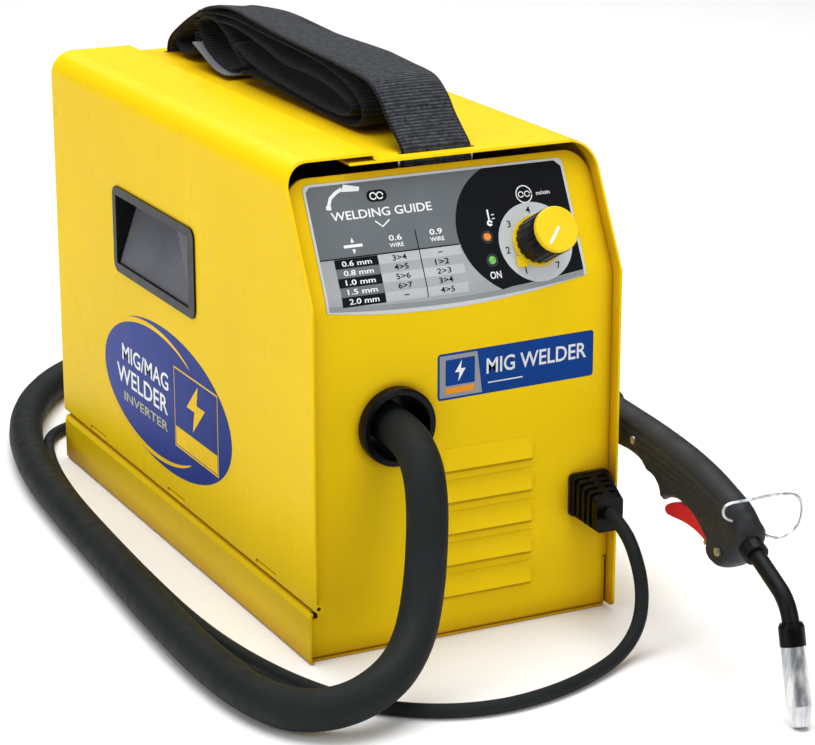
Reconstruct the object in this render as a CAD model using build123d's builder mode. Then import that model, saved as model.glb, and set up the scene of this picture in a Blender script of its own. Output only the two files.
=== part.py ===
"""Portable wire-feed (MIG) welding inverter with a fixed torch, a carrying strap and a mains lead.

Millimetres. The origin is the centre of the base's underside: +X is to the right as seen from the
front, +Y goes to the rear and +Z is up. The front panel faces -Y. The left side (-X) is a door over
the wire compartment.
"""

from build123d import *

import os
from math import atan2, cos, pi, radians, sin, tan

os.makedirs("parts", exist_ok=True)

# ---------------------------------------------------------------- driving dimensions
CASE_W, CASE_D, CASE_H = 210.0, 446.0, 304.0
SHEET = 1.5
ROLL_R = 16.5  # outer radius of the rolled top corners
KNEE_Z = 224.0  # height at which the front starts to lean back
SETBACK = 42.0  # how far the front leans back by the top
HOOD = 9.0  # how far the cover stands out past the front panel
STEP_X, STEP_DROP = -43.5, 4.3  # the door's top strip ends here and stands this much higher
SILL_Z = 33.5  # top of the base's side flange, below the door
DOOR_BEND = 8.0

HALF_W, HALF_D = CASE_W / 2, CASE_D / 2
COVER_TOP = CASE_H - STEP_DROP
BASE_X = 102.0  # outer face of the base's right flange, inside the cover
FLANGE_X = HALF_W + 1.3  # outer face of the base's left flange, just outside the door
BASE_Y = HALF_D - HOOD  # outer face of the front and rear panels
TRAY_Y = BASE_Y + 4.0  # ends of the left flange, past the panels
PANEL_TOP = 292.0
PANEL_BEND = 32.0  # outer radius of the bend between the upright and the sloping part
LEAN = atan2(SETBACK, CASE_H - KNEE_Z)  # lean of the sloping panel from the vertical
PANEL_KNEE = KNEE_Z - HOOD * tan(LEAN / 2)

# Sloping control panel: x to the right, y up the slope, z out of the panel
CONTROLS = Plane(
    origin=(0, -BASE_Y, PANEL_KNEE), x_dir=(1, 0, 0), z_dir=(0, -cos(LEAN), sin(LEAN))
)
LABEL_LEFT, LABEL_RIGHT, LABEL_TOP, LABEL_T = -91.0, 85.0, 75.0, 0.4
LABEL_FOOT = (-3.0, -8.5, 0.0)  # its bowed lower edge at the left, the middle and the right
DIAL_X, DIAL_Y = 54.6, 24.2
SHAFT_R = 3.0
LED_X, LED_R = 22.7, 2.6
LED_YS = (16.0, 30.6)

# Door hinge: a rod in the rolled lower edge of the door
HINGE_X, HINGE_Z = -HALF_W + 2.7, SILL_Z + 4.0
ROD_R, CURL_BORE, CURL_R = 1.3, 1.36, 2.7
KNUCKLE_L, KNUCKLE_YS = 30.0, (-150.0, 0.0, 150.0)

# Recessed grip in the door
GRIP_Y, GRIP_Z, GRIP_L, GRIP_H, GRIP_DEPTH = 29.0, 202.5, 146.0, 60.0, 16.0

# Wire compartment
DIVIDER_X = -20.0
SPOOL_X, SPOOL_Y, SPOOL_Z = -59.0, 95.0, 128.0
SPOOL_R, SPOOL_W, BARREL_R, BORE_R, WOUND_R = 98.0, 46.0, 50.0, 25.45, 80.0
WIRE_X, WIRE_Z, WIRE_R = -46.5, 143.5, 0.45
ROLL_Y, DRIVE_R, PRESS_R, ROLL_GAP = -120.0, 15.0, 10.0, 1.6
DRIVE_Z = WIRE_Z - ROLL_GAP / 2 - DRIVE_R
PRESS_Z = WIRE_Z + ROLL_GAP / 2 + PRESS_R
ARM_Y, ARM_Z = -82.0, 158.0
RUNNING = 0.05  # radial clearance of every running fit

# Front outlets
COLLAR_R, COLLAR_BORE, COLLAR_OUT = 24.6, 19.5, 7.0
COLLAR_BACK = BASE_Y - 14.0
HOSE_R = 12.5
GLAND_X, GLAND_Z, GLAND_W = 88.5, 79.4, 28.0
NOSE_Z, NOSE_W, NOSE_H, NOSE_Y = 73.0, 19.0, 22.0, BASE_Y + 28.0
CORD_R = 4.3

# Louvres
LOUVRE_X, LOUVRE_W, LOUVRE_H, LOUVRE_OUT = 16.0, 70.0, 13.0, 4.5
LOUVRE_Z, LOUVRE_PITCH, LOUVRES = 28.0, 20.5, 5

# Rear panel
FAN_X, FAN_Z, FAN_SIDE, FAN_T = 45.0, 165.0, 92.0, 25.0
SWITCH_X, SWITCH_Z = -60.0, 245.0
SOCKET_X, SOCKET_Z, SOCKET_BORE = 55.0, 62.0, 4.55

# Torch: its own plane has x along the ground away from the nozzle tip, y up, z to its right
TORCH_TURN = 4.5  # degrees
TORCH = Plane(
    origin=(108.4, -426.2, 0),
    x_dir=(sin(radians(TORCH_TURN)), cos(radians(TORCH_TURN)), 0),
    z_dir=(cos(radians(TORCH_TURN)), -sin(radians(TORCH_TURN)), 0),
)
NOZZLE_LEAN = 16.0  # degrees from the vertical
NOZZLE_R, NOZZLE_TIP_R, NOZZLE_BORE, NOZZLE_L = 7.3, 4.9, 5.9, 46.5
HANDLE_HALF = 12.5
HANDLE_END = 262.0  # the handle's rear end, along the torch plane's x
HANDLE_AXIS_Z = 114.5
TRIGGER_PIVOT = (101.0, 80.0)
NECK_ROOT = (97.0, 101.0)

# Carrying strap
STRAP_X, STRAP_W = 2.0, 47.0
STRAP_FRONT_Y, STRAP_REAR_Y = -172.5, 208.0

# Free hose from the front collar round the left side and the rear to the torch handle
HOSE_ROUTE = [
    (-47.5, -200, 143.4),
    (-47.5, -232, 143.4),
    (-49.5, -256, 133),
    (-52, -268, 113),
    (-56, -275, 86),
    (-63, -284, 61),
    (-76, -298, 40),
    (-99, -316, 28),
    (-130, -322, 19),
    (-156, -303, 13.5),
    (-168, -262, 12.5),
    (-171, -200, 12.5),
    (-168, -115, 12.5),
    (-162, -25, 12.5),
    (-157, 70, 12.5),
    (-149, 160, 12.5),
    (-132, 240, 12.5),
    (-102, 314, 12.5),
    (-56, 374, 12.5),
    (4, 408, 12.5),
    (70, 412, 12.5),
    (126, 378, 12.5),
    (158, 320, 12.5),
    (170, 246, 12.5),
    (168, 168, 13),
    (160, 96, 18),
    (152, 34, 37),
    (145, -24, 67),
    (138.4, -72, 97),
    (133.2, -112, 114.5),
    (128.96, -165, 114.5),
]

# Mains lead from the gland, under the hose and along its inside, to the coil behind the case
COIL_X, COIL_Y, COIL_Z = 14.0, 318.0, 5.0
COIL_OUTER, COIL_PITCH, COIL_TURNS = 62.0, 8.8, 3
COIL_INNER = COIL_OUTER - COIL_PITCH * COIL_TURNS
TIE_T, TIE_WIDE = 0.6, 10.0
LEAD_ROUTE = [
    (89, -241, 74),
    (88.6, -259, 70),
    (88.4, -274, 57),
    (88, -284, 38),
    (82, -291, 19),
    (66, -299, 6.5),
    (38, -314, 4.3),
    (4, -327, 4.3),
    (-34, -332, 4.3),
    (-70, -323, 4.3),
    (-101, -300, 4.3),
    (-123, -263, 4.3),
    (-139, -208, 4.3),
    (-147, -140, 4.3),
    (-146, -50, 4.3),
    (-142, 40, 4.3),
    (-137, 120, 4.3),
    (-128, 185, 4.3),
    (-115.5, 236, 4.3),
    (-101, 264, 4.3),
    (-76, 277, 4.3),
    (-46, 273, 4.4),
    (-16, 260, 4.7),
    (COIL_X, COIL_Y - COIL_OUTER, COIL_Z),
]
# The last stretch, from the inner end of the coil over its turns to the plug
PLUG_ROUTE = [
    (COIL_X, COIL_Y - COIL_INNER, 13.7),
    (29, 281.6, 14.2),
    (44, 278.0, 14.8),
    (58, 272.8, 16.4),
    (71, 267.7, 18.3),
    (84, 262.5, 18.3),
]


def on_torch(along, up, right=0.0):
    """World position of a point of the torch's own plane."""
    return TORCH.from_local_coords((along, up, right))


def write(part, name):
    """Label a finished piece and write it as its own file."""
    part.label = name
    export_step(part, f"parts/{name}.step")


def route_radii(points):
    """Bend radii as large as the runs allow: 0.45 of the shorter run over the tangent of half the turn."""
    stops = [Vector(*p) for p in points]
    runs = [b - a for a, b in zip(stops, stops[1:])]
    radii = []
    for before, after in zip(runs, runs[1:]):
        turn = radians(before.get_angle(after))
        radii.append(0.45 * min(before.length, after.length) / tan(turn / 2))
    return radii


def tube(points, radius, name):
    """A round cord along straight runs joined by tangent arcs; prints its facts."""
    radii = route_radii(points)
    with BuildPart() as cord:
        with BuildLine() as path:
            FilletPolyline(*points, radius=radii)
        with BuildSketch(Plane(path.line @ 0, z_dir=path.line % 0)):
            Circle(radius)
        sweep()
    long = sum(edge.length for edge in path.line.edges())
    share = cord.part.volume / (pi * radius**2 * long)
    print(f"{name}: {long:.0f} mm, volume {share:.4f} of section times length,", end=" ")
    print("radii", [round(r) for r in radii])
    return cord.part


# ---------------------------------------------------------------- sheet-metal case
def lean_gap(x):
    """Everything ahead of the leaning front edge, as a sketch in the plane at x."""
    with BuildSketch(Plane.YZ.offset(x)) as gap:
        Polygon(
            (-HALF_D, KNEE_Z),
            (-HALF_D + SETBACK, CASE_H),
            (-HALF_D + SETBACK, CASE_H + HOOD),
            (-HALF_D - HOOD, CASE_H + HOOD),
            (-HALF_D - HOOD, KNEE_Z),
            align=None,
        )
    return gap.sketch


SCREW_R = 2.0
RIGHT_SCREWS = [(y, 20.0) for y in (-180.0, -60.0, 60.0, 180.0)]  # y, z on the right side

def panel_outline(y, top):
    """Front view of an end panel: rounded above, stepped in beside the hinge and the base's flanges."""
    wide, shoulder = BASE_X + 1.2, HINGE_Z + CURL_R + 1.3
    beside_hinge = -HINGE_X - CURL_R - 0.4
    beside_left, beside_right = FLANGE_X - SHEET - 0.2, BASE_X - SHEET - 0.2
    with BuildSketch(Plane.XZ.offset(-y)) as outline:
        Polygon(
            (-beside_left, SHEET),
            (beside_right, SHEET),
            (beside_right, SILL_Z + 1),
            (wide, SILL_Z + 1),
            (wide, top),
            (-wide, top),
            (-wide, shoulder),
            (-beside_hinge, shoulder),
            (-beside_hinge, SILL_Z - 5.5),
            (-beside_left, SILL_Z - 5.5),
            align=None,
        )
        fillet(outline.vertices().group_by(Axis.Y)[-1], radius=ROLL_R)
        fillet(outline.vertices().group_by(Axis.Y)[0], radius=2.5)
    return outline.sketch


with BuildPart() as base_tray:
    with BuildSketch(Plane.XZ.offset(TRAY_Y)):
        with BuildLine():
            FilletPolyline(
                (-FLANGE_X + 1.4, SILL_Z),
                (-FLANGE_X, SILL_Z - 3.5),
                (-FLANGE_X, 0),
                (BASE_X, 0),
                (BASE_X, SILL_Z),
                radius=2.2,
            )
            offset(amount=SHEET, side=Side.LEFT)
        make_face()
    extrude(amount=-2 * TRAY_Y)
    # only the left flange reaches past the panels
    kept = -FLANGE_X + 2 * SHEET
    for y in (-BASE_Y - 2, BASE_Y + 2):
        with BuildSketch(Plane.XY.offset(-1)):
            with Locations(((kept + HALF_W) / 2, y)):
                Rectangle(HALF_W - kept, 4)
        extrude(amount=SILL_Z + 2, mode=Mode.SUBTRACT)
    # air slots in the floor
    with BuildSketch(Plane.XY):
        with Locations((50, 0)):
            with GridLocations(0, 22, 1, 9):
                SlotOverall(60, 6)
    extrude(amount=SHEET, mode=Mode.SUBTRACT)
    with BuildSketch(Plane.YZ.offset(BASE_X - SHEET)):
        with Locations(*RIGHT_SCREWS):
            Circle(SCREW_R)
    extrude(amount=SHEET, mode=Mode.SUBTRACT)
write(base_tray.part, "base_tray")

with BuildPart() as front_panel:
    panel_rear_y = -BASE_Y + (PANEL_TOP - PANEL_KNEE) * tan(LEAN)
    with BuildSketch(Plane.YZ.offset(-HALF_W)):
        with BuildLine():
            FilletPolyline(
                (-BASE_Y + 16, SHEET),
                (-BASE_Y, SHEET),
                (-BASE_Y, PANEL_KNEE),
                (panel_rear_y, PANEL_TOP),
                radius=(2.2, PANEL_BEND),
            )
            offset(amount=SHEET, side=Side.RIGHT)
        make_face()
    extrude(amount=CASE_W)
    extrude(panel_outline(0, PANEL_TOP), amount=HALF_D, mode=Mode.INTERSECT)
    # louvres: pressed-out hoods, open below
    for row in range(LOUVRES):
        z = LOUVRE_Z + row * LOUVRE_PITCH
        for inset, mode in ((0.0, Mode.ADD), (1.2, Mode.SUBTRACT)):
            floor = z - (0.5 if inset else 0.0)
            wide, narrow = LOUVRE_W / 2 - inset, LOUVRE_W / 2 - 5 - inset
            with BuildSketch(Plane.XY.offset(floor)):
                Polygon(
                    (LOUVRE_X - wide, -BASE_Y + SHEET),
                    (LOUVRE_X - wide, -BASE_Y),
                    (LOUVRE_X - narrow, -BASE_Y - LOUVRE_OUT + inset),
                    (LOUVRE_X + narrow, -BASE_Y - LOUVRE_OUT + inset),
                    (LOUVRE_X + wide, -BASE_Y),
                    (LOUVRE_X + wide, -BASE_Y + SHEET),
                    align=None,
                )
            with BuildSketch(Plane.XY.offset(z + LOUVRE_H - inset)):
                Polygon(
                    (LOUVRE_X - wide, -BASE_Y + SHEET),
                    (LOUVRE_X - wide, -BASE_Y),
                    (LOUVRE_X - narrow, -BASE_Y - 0.1 + inset / 2),
                    (LOUVRE_X + narrow, -BASE_Y - 0.1 + inset / 2),
                    (LOUVRE_X + wide, -BASE_Y),
                    (LOUVRE_X + wide, -BASE_Y + SHEET),
                    align=None,
                )
            loft(mode=mode)
    # outlets for the hose and the mains lead
    with BuildSketch(Plane.XZ.offset(BASE_Y)):
        with Locations((WIRE_X, WIRE_Z)):
            Circle(COLLAR_BORE + 1.5)
        with Locations((GLAND_X, GLAND_Z)):
            Rectangle(GLAND_W - 8, GLAND_W - 8)
    extrude(amount=-SHEET, mode=Mode.SUBTRACT)
    # dial shaft and indicator holes
    with BuildSketch(CONTROLS.offset(-SHEET)):
        with Locations((DIAL_X, DIAL_Y)):
            Circle(SHAFT_R + 1.0)
        with Locations(*[(LED_X, y) for y in LED_YS]):
            Circle(LED_R)
    extrude(amount=SHEET, mode=Mode.SUBTRACT)
write(front_panel.part, "front_panel")

REAR_SCREWS = [(x, z) for x in (-90.0, 90.0) for z in (14.0, 280.0)]
with BuildPart() as rear_panel:
    extrude(panel_outline(BASE_Y, PANEL_TOP + 4), amount=SHEET)
    with BuildSketch(Plane.XZ.offset(-BASE_Y)):
        with Locations((FAN_X, FAN_Z)):
            with GridLocations(0, 11, 1, 7):
                SlotOverall(78, 5.5)
        with Locations((SWITCH_X, SWITCH_Z)):
            Rectangle(27, 21.5)
        with Locations((SOCKET_X, SOCKET_Z)):
            Circle(13)
        with Locations(*REAR_SCREWS):
            Circle(SCREW_R)
    extrude(amount=SHEET, mode=Mode.SUBTRACT)
    # foot flange on the base floor
    with BuildSketch(Plane.XY.offset(SHEET)):
        with Locations((0, BASE_Y - SHEET - 7)):
            Rectangle(2 * BASE_X - 12, 14)
    extrude(amount=SHEET)
write(rear_panel.part, "rear_panel")

with BuildPart() as fixed_cover:
    with BuildSketch(Plane.XZ.offset(HALF_D)):
        with BuildLine():
            FilletPolyline(
                (STEP_X - 18, COVER_TOP), (HALF_W, COVER_TOP), (HALF_W, 2.0), radius=ROLL_R
            )
            offset(amount=SHEET, side=Side.RIGHT)
        make_face()
    extrude(amount=-CASE_D)
    extrude(lean_gap(STEP_X - 20), amount=HALF_W - STEP_X + 21, mode=Mode.SUBTRACT)
    # strap slots
    with BuildSketch(Plane.XY.offset(COVER_TOP - SHEET)):
        with Locations((STRAP_X, STRAP_FRONT_Y), (STRAP_X, STRAP_REAR_Y)):
            RectangleRounded(STRAP_W + 5, 4.0, 1.5)
    extrude(amount=SHEET, mode=Mode.SUBTRACT)
    with BuildSketch(Plane.YZ.offset(HALF_W - SHEET)):
        with Locations(*RIGHT_SCREWS):
            Circle(SCREW_R)
    extrude(amount=SHEET, mode=Mode.SUBTRACT)
    # rounded lower corners
    corners = fixed_cover.edges().filter_by(Axis.X).group_by(Axis.Z)[0]
    fillet(corners.group_by(Axis.Y)[0] + corners.group_by(Axis.Y)[-1], radius=4.0)
write(fixed_cover.part, "fixed_cover")

with BuildPart() as divider:
    with BuildSketch(Plane.YZ.offset(DIVIDER_X)):
        Polygon(
            (-BASE_Y + 18, 2 * SHEET),
            (BASE_Y - 18, 2 * SHEET),
            (BASE_Y - 18, COVER_TOP - SHEET - 0.6),
            (-BASE_Y + 58, COVER_TOP - SHEET - 0.6),
            (-BASE_Y + 18, PANEL_KNEE),
            align=None,
        )
        with Locations((ROLL_Y, DRIVE_Z)):
            Circle(9.5, mode=Mode.SUBTRACT)
    extrude(amount=SHEET)
    # foot and head flanges
    with BuildSketch(Plane.XY.offset(SHEET)):
        with Locations((DIVIDER_X + 7, 0)):
            Rectangle(14, 2 * BASE_Y - 36)
    extrude(amount=SHEET)
    with BuildSketch(Plane.XY.offset(COVER_TOP - 2 * SHEET - 0.6)):
        with Locations((DIVIDER_X + 7, 20)):
            Rectangle(14, 2 * BASE_Y - 76)
    extrude(amount=SHEET)
write(divider.part, "divider")

# ---------------------------------------------------------------- door, its hinge and its grip
with BuildPart() as door_panel:
    with BuildSketch(Plane.XZ.offset(HALF_D)):
        with BuildLine():
            FilletPolyline(
                (-HALF_W, HINGE_Z),
                (-HALF_W, CASE_H),
                (STEP_X, CASE_H),
                (STEP_X, COVER_TOP + 0.5),
                radius=(ROLL_R, 2.0),
            )
            offset(amount=SHEET, side=Side.RIGHT)
        make_face()
        with Locations((HINGE_X, HINGE_Z)):
            Circle(CURL_R)
            Circle(CURL_BORE, mode=Mode.SUBTRACT)
    extrude(amount=-CASE_D)
    extrude(lean_gap(-HALF_W - 1), amount=HALF_W + STEP_X + 2, mode=Mode.SUBTRACT)
    # gaps in the rolled edge for the base's knuckles
    for y in KNUCKLE_YS:
        with BuildSketch(Plane.XZ.offset(-y - KNUCKLE_L / 2 - 0.5)):
            with Locations((HINGE_X, HINGE_Z)):
                Rectangle(2 * CURL_R + 1, 2 * CURL_R + 1)
        extrude(amount=KNUCKLE_L + 1, mode=Mode.SUBTRACT)
    # opening for the grip
    with BuildSketch(Plane.YZ.offset(-HALF_W)):
        with Locations((GRIP_Y, GRIP_Z)):
            RectangleRounded(GRIP_L - 8, GRIP_H - 8, 6)
    extrude(amount=SHEET, mode=Mode.SUBTRACT)
write(door_panel.part, "door_panel")

with BuildPart() as grip_pocket:
    # bezel on the outside
    with BuildSketch(Plane.YZ.offset(-HALF_W - 1.4)):
        with Locations((GRIP_Y, GRIP_Z)):
            RectangleRounded(GRIP_L, GRIP_H, 7)
    extrude(amount=1.4)
    # pocket body through the door
    with BuildSketch(Plane.YZ.offset(-HALF_W)):
        with Locations((GRIP_Y, GRIP_Z)):
            RectangleRounded(GRIP_L - 8.6, GRIP_H - 8.6, 5.5)
    extrude(amount=GRIP_DEPTH + 1.6)
    # hollow with a floor that slopes from the rear of the lower edge, and a wider front rim
    pocket_low, pocket_high = GRIP_Z - GRIP_H / 2 + 6, GRIP_Z + GRIP_H / 2 - 6
    pocket_front, pocket_rear = GRIP_Y - GRIP_L / 2 + 10, GRIP_Y + GRIP_L / 2 - 6
    with BuildSketch(Plane.XY.offset(pocket_low)):
        Polygon(
            (-HALF_W - 2, pocket_front),
            (-HALF_W - 2, pocket_rear),
            (-HALF_W + GRIP_DEPTH, pocket_rear - 3),
            (-HALF_W + GRIP_DEPTH, pocket_rear - 62),
            (-HALF_W + 5, pocket_front),
            align=None,
        )
    extrude(amount=pocket_high - pocket_low, mode=Mode.SUBTRACT)
    # two clips that hold it in the sheet
    with BuildSketch(Plane.YZ.offset(-HALF_W + SHEET)):
        with Locations((GRIP_Y, GRIP_Z + GRIP_H / 2 - 3.8), (GRIP_Y, GRIP_Z - GRIP_H / 2 + 3.8)):
            Rectangle(16, 3.0)
    extrude(amount=5)
write(grip_pocket.part, "grip_pocket")

ARM_OUT = HINGE_X + CURL_R + 4.0
FOOT_X = -FLANGE_X + SHEET
with BuildPart() as hinge_brackets:
    for y in KNUCKLE_YS:
        with BuildSketch(Plane.XZ.offset(-y - KNUCKLE_L / 2)):
            with Locations((HINGE_X, HINGE_Z)):
                Circle(CURL_R)
            Polygon(
                (FOOT_X, 14),
                (FOOT_X + SHEET, 14),
                (FOOT_X + SHEET, 24),
                (ARM_OUT, 30),
                (ARM_OUT, HINGE_Z + 0.9),
                (HINGE_X + 1.0, HINGE_Z + 0.9),
                (HINGE_X + 1.0, HINGE_Z - 0.6),
                (ARM_OUT - SHEET, HINGE_Z - 0.6),
                (ARM_OUT - SHEET, 30.6),
                (FOOT_X, 24.6),
                align=None,
            )
            with Locations((HINGE_X, HINGE_Z)):
                Circle(ROD_R, mode=Mode.SUBTRACT)
        extrude(amount=KNUCKLE_L)
write(hinge_brackets.part, "hinge_brackets")

with BuildPart() as hinge_rod:
    with BuildSketch(Plane.XZ.offset(BASE_Y - SHEET - 1)):
        with Locations((HINGE_X, HINGE_Z)):
            Circle(ROD_R)
    extrude(amount=-2 * (BASE_Y - SHEET - 1))
write(hinge_rod.part, "hinge_rod")

# ---------------------------------------------------------------- wire spool
with BuildPart() as spool_hub:
    with BuildSketch(Plane.YZ.offset(DIVIDER_X - 6)):
        with Locations((SPOOL_Y, SPOOL_Z)):
            Circle(32)
    extrude(amount=6)
    with BuildSketch(Plane.YZ.offset(SPOOL_X - SPOOL_W / 2 - 1)):
        with Locations((SPOOL_Y, SPOOL_Z)):
            Circle(BORE_R - RUNNING)
            Circle(7.0, mode=Mode.SUBTRACT)
    extrude(until=Until.NEXT)
write(spool_hub.part, "spool_hub")

with BuildPart() as wire_spool:
    for x in (SPOOL_X - SPOOL_W / 2, SPOOL_X + SPOOL_W / 2 - 2.5):
        with BuildSketch(Plane.YZ.offset(x)):
            with Locations((SPOOL_Y, SPOOL_Z)):
                Circle(SPOOL_R)
                Circle(BORE_R, mode=Mode.SUBTRACT)
                with PolarLocations(66, 3, start_angle=30):
                    Circle(11, mode=Mode.SUBTRACT)
        extrude(amount=2.5)
    with BuildSketch(Plane.YZ.offset(SPOOL_X - SPOOL_W / 2)):
        with Locations((SPOOL_Y, SPOOL_Z)):
            Circle(BARREL_R)
            Circle(BARREL_R - 2.5, mode=Mode.SUBTRACT)
            Circle(BORE_R + 2.5)
            Circle(BORE_R, mode=Mode.SUBTRACT)
    extrude(amount=SPOOL_W)
write(wire_spool.part, "wire_spool")

with BuildPart() as wound_wire:
    with BuildSketch(Plane.YZ.offset(SPOOL_X - SPOOL_W / 2 + 2.5)):
        with Locations((SPOOL_Y, SPOOL_Z)):
            Circle(WOUND_R)
            Circle(BARREL_R, mode=Mode.SUBTRACT)
    extrude(amount=SPOOL_W - 5)
write(wound_wire.part, "wound_wire")

with BuildPart() as hub_nut:
    nut_x = SPOOL_X - SPOOL_W / 2 - 1
    with BuildSketch(Plane.YZ.offset(nut_x)):
        with Locations((SPOOL_Y, SPOOL_Z)):
            Circle(29)
    extrude(amount=-5)
    with BuildSketch(Plane.YZ.offset(nut_x)):
        with Locations((SPOOL_Y, SPOOL_Z)):
            Circle(7.0)
    extrude(amount=20)
    with BuildSketch(Plane.YZ.offset(nut_x - 5)):
        with Locations((SPOOL_Y, SPOOL_Z)):
            SlotOverall(44, 9)
    extrude(amount=-6)
write(hub_nut.part, "hub_nut")

# ---------------------------------------------------------------- wire feeder
PLATE_X = DIVIDER_X - 12
with BuildPart() as feeder_plate:
    with BuildSketch(Plane.YZ.offset(PLATE_X)):
        with Locations((ROLL_Y, 138)):
            RectangleRounded(96, 78, 6)
        with Locations((ROLL_Y, DRIVE_Z)):
            Circle(4 + RUNNING, mode=Mode.SUBTRACT)
    extrude(amount=DIVIDER_X - PLATE_X)
    # pin of the pressure arm
    with BuildSketch(Plane.YZ.offset(WIRE_X - 12)):
        with Locations((ARM_Y, ARM_Z)):
            Circle(3)
    extrude(amount=PLATE_X - WIRE_X + 12)
    # blocks that hold the guides on the wire's line
    for y, depth in ((-88.0, 12.0), (-158.0, 14.0)):
        with BuildSketch(Plane.XZ.offset(-y - depth / 2)):
            with Locations(((PLATE_X + WIRE_X - 7) / 2, WIRE_Z - 5)):
                Rectangle(PLATE_X - WIRE_X + 7, 20)
            with Locations((WIRE_X, WIRE_Z)):
                Circle(3.0, mode=Mode.SUBTRACT)
        extrude(amount=depth)
write(feeder_plate.part, "feeder_plate")

with BuildPart() as gear_motor:
    gear_x = DIVIDER_X + SHEET
    with BuildSketch(Plane.YZ.offset(gear_x)):
        with Locations((ROLL_Y, DRIVE_Z + 6)):
            RectangleRounded(58, 66, 8)
    extrude(amount=24)
    with BuildSketch(Plane.YZ.offset(gear_x + 24)):
        with Locations((ROLL_Y, DRIVE_Z + 10)):
            Circle(21)
    extrude(amount=58)
    with BuildSketch(Plane.YZ.offset(DIVIDER_X)):
        with Locations((ROLL_Y, DRIVE_Z)):
            Circle(9)
    extrude(amount=SHEET)
    with BuildSketch(Plane.YZ.offset(DIVIDER_X)):
        with Locations((ROLL_Y, DRIVE_Z)):
            Circle(4 + RUNNING)
    extrude(amount=SHEET + 20, mode=Mode.SUBTRACT)
    fillet(gear_motor.faces().sort_by(Axis.X)[-1].edges(), radius=3)
write(gear_motor.part, "gear_motor")

ROLL_W = 10.0
with BuildPart() as drive_roller:
    roll_plane = Plane(origin=(0, ROLL_Y, DRIVE_Z), x_dir=(1, 0, 0), z_dir=(0, -1, 0))
    with BuildSketch(roll_plane):
        Polygon(
            (WIRE_X - ROLL_W / 2 - 6, 0),
            (WIRE_X - ROLL_W / 2 - 6, 6),
            (WIRE_X - ROLL_W / 2 - 1, 7),
            (WIRE_X - ROLL_W / 2 - 1, DRIVE_R - 3),
            (WIRE_X - ROLL_W / 2, DRIVE_R),
            (WIRE_X - 1.2, DRIVE_R),
            (WIRE_X, DRIVE_R - 0.8),
            (WIRE_X + 1.2, DRIVE_R),
            (WIRE_X + ROLL_W / 2, DRIVE_R),
            (WIRE_X + ROLL_W / 2, 4),
            (DIVIDER_X + SHEET + 18, 4),
            (DIVIDER_X + SHEET + 18, 0),
            align=None,
        )
    revolve(axis=Axis((0, ROLL_Y, DRIVE_Z), (1, 0, 0)))
write(drive_roller.part, "drive_roller")

ARM_CHEEKS = (WIRE_X - 10.0, WIRE_X + 7.0)
ARM_TIP = -160.0
with BuildPart() as pressure_arm:
    for x in ARM_CHEEKS:
        with BuildSketch(Plane.YZ.offset(x)):
            Polygon(
                (ARM_Y + 6, ARM_Z - 5),
                (ARM_Y + 6, ARM_Z + 13),
                (ARM_TIP, ARM_Z + 13),
                (ARM_TIP, ARM_Z + 6),
                (ROLL_Y - 8, PRESS_Z - 7),
                (ROLL_Y + 8, PRESS_Z - 7),
                align=None,
            )
            with Locations((ARM_Y, ARM_Z)):
                Circle(3 + RUNNING, mode=Mode.SUBTRACT)
        extrude(amount=3.0)
    with BuildSketch(Plane.XY.offset(ARM_Z + 10)):
        with Locations((WIRE_X, (ARM_Y + 6 + ARM_TIP) / 2)):
            Rectangle(ARM_CHEEKS[1] + 3 - ARM_CHEEKS[0], ARM_Y + 6 - ARM_TIP)
        with Locations((WIRE_X, -148)):
            Circle(3 + RUNNING, mode=Mode.SUBTRACT)
    extrude(amount=3)
    # pin of the pressure roller
    with BuildSketch(Plane.YZ.offset(ARM_CHEEKS[0])):
        with Locations((ROLL_Y, PRESS_Z)):
            Circle(3)
    extrude(amount=ARM_CHEEKS[1] + 3 - ARM_CHEEKS[0])
write(pressure_arm.part, "pressure_arm")

with BuildPart() as pressure_roller:
    with BuildSketch(Plane.YZ.offset(WIRE_X - 4)):
        with Locations((ROLL_Y, PRESS_Z)):
            Circle(PRESS_R)
            Circle(3 + RUNNING, mode=Mode.SUBTRACT)
    extrude(amount=8)
    chamfer(pressure_roller.edges().filter_by(GeomType.CIRCLE).group_by(SortBy.RADIUS)[-1], 0.6)
write(pressure_roller.part, "pressure_roller")

KNOB_BASE_Z = ARM_Z + 13
with BuildPart() as tension_knob:
    with BuildSketch(Plane.XY.offset(KNOB_BASE_Z + 9)):
        with Locations((WIRE_X, -148)):
            Circle(9.5)
            with PolarLocations(9.5, 8):
                Circle(1.6, mode=Mode.SUBTRACT)
    extrude(amount=16)
    with BuildSketch(Plane.XY.offset(ARM_Z + 6)):
        with Locations((WIRE_X, -148)):
            Circle(3)
    extrude(amount=12)
    with BuildSketch(Plane.XY.offset(KNOB_BASE_Z + 5)):
        with Locations((WIRE_X, -148)):
            Circle(3)
    extrude(amount=4)
write(tension_knob.part, "tension_knob")

with BuildPart() as wire_guides:
    for y_low, y_high in ((-96.0, -72.0), (-168.0, -140.0)):
        with BuildSketch(Plane.XZ.offset(-y_high)):
            with Locations((WIRE_X, WIRE_Z)):
                Circle(3)
                Circle(0.9, mode=Mode.SUBTRACT)
        extrude(amount=y_high - y_low)
write(wire_guides.part, "wire_guides")

with BuildPart() as torch_adapter:
    with BuildSketch(Plane.XZ.offset(168.0)):
        with Locations((WIRE_X, WIRE_Z)):
            Circle(10)
            Circle(1.2, mode=Mode.SUBTRACT)
    extrude(amount=COLLAR_BACK - 168.0 - 2.0)
write(torch_adapter.part, "torch_adapter")

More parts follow.
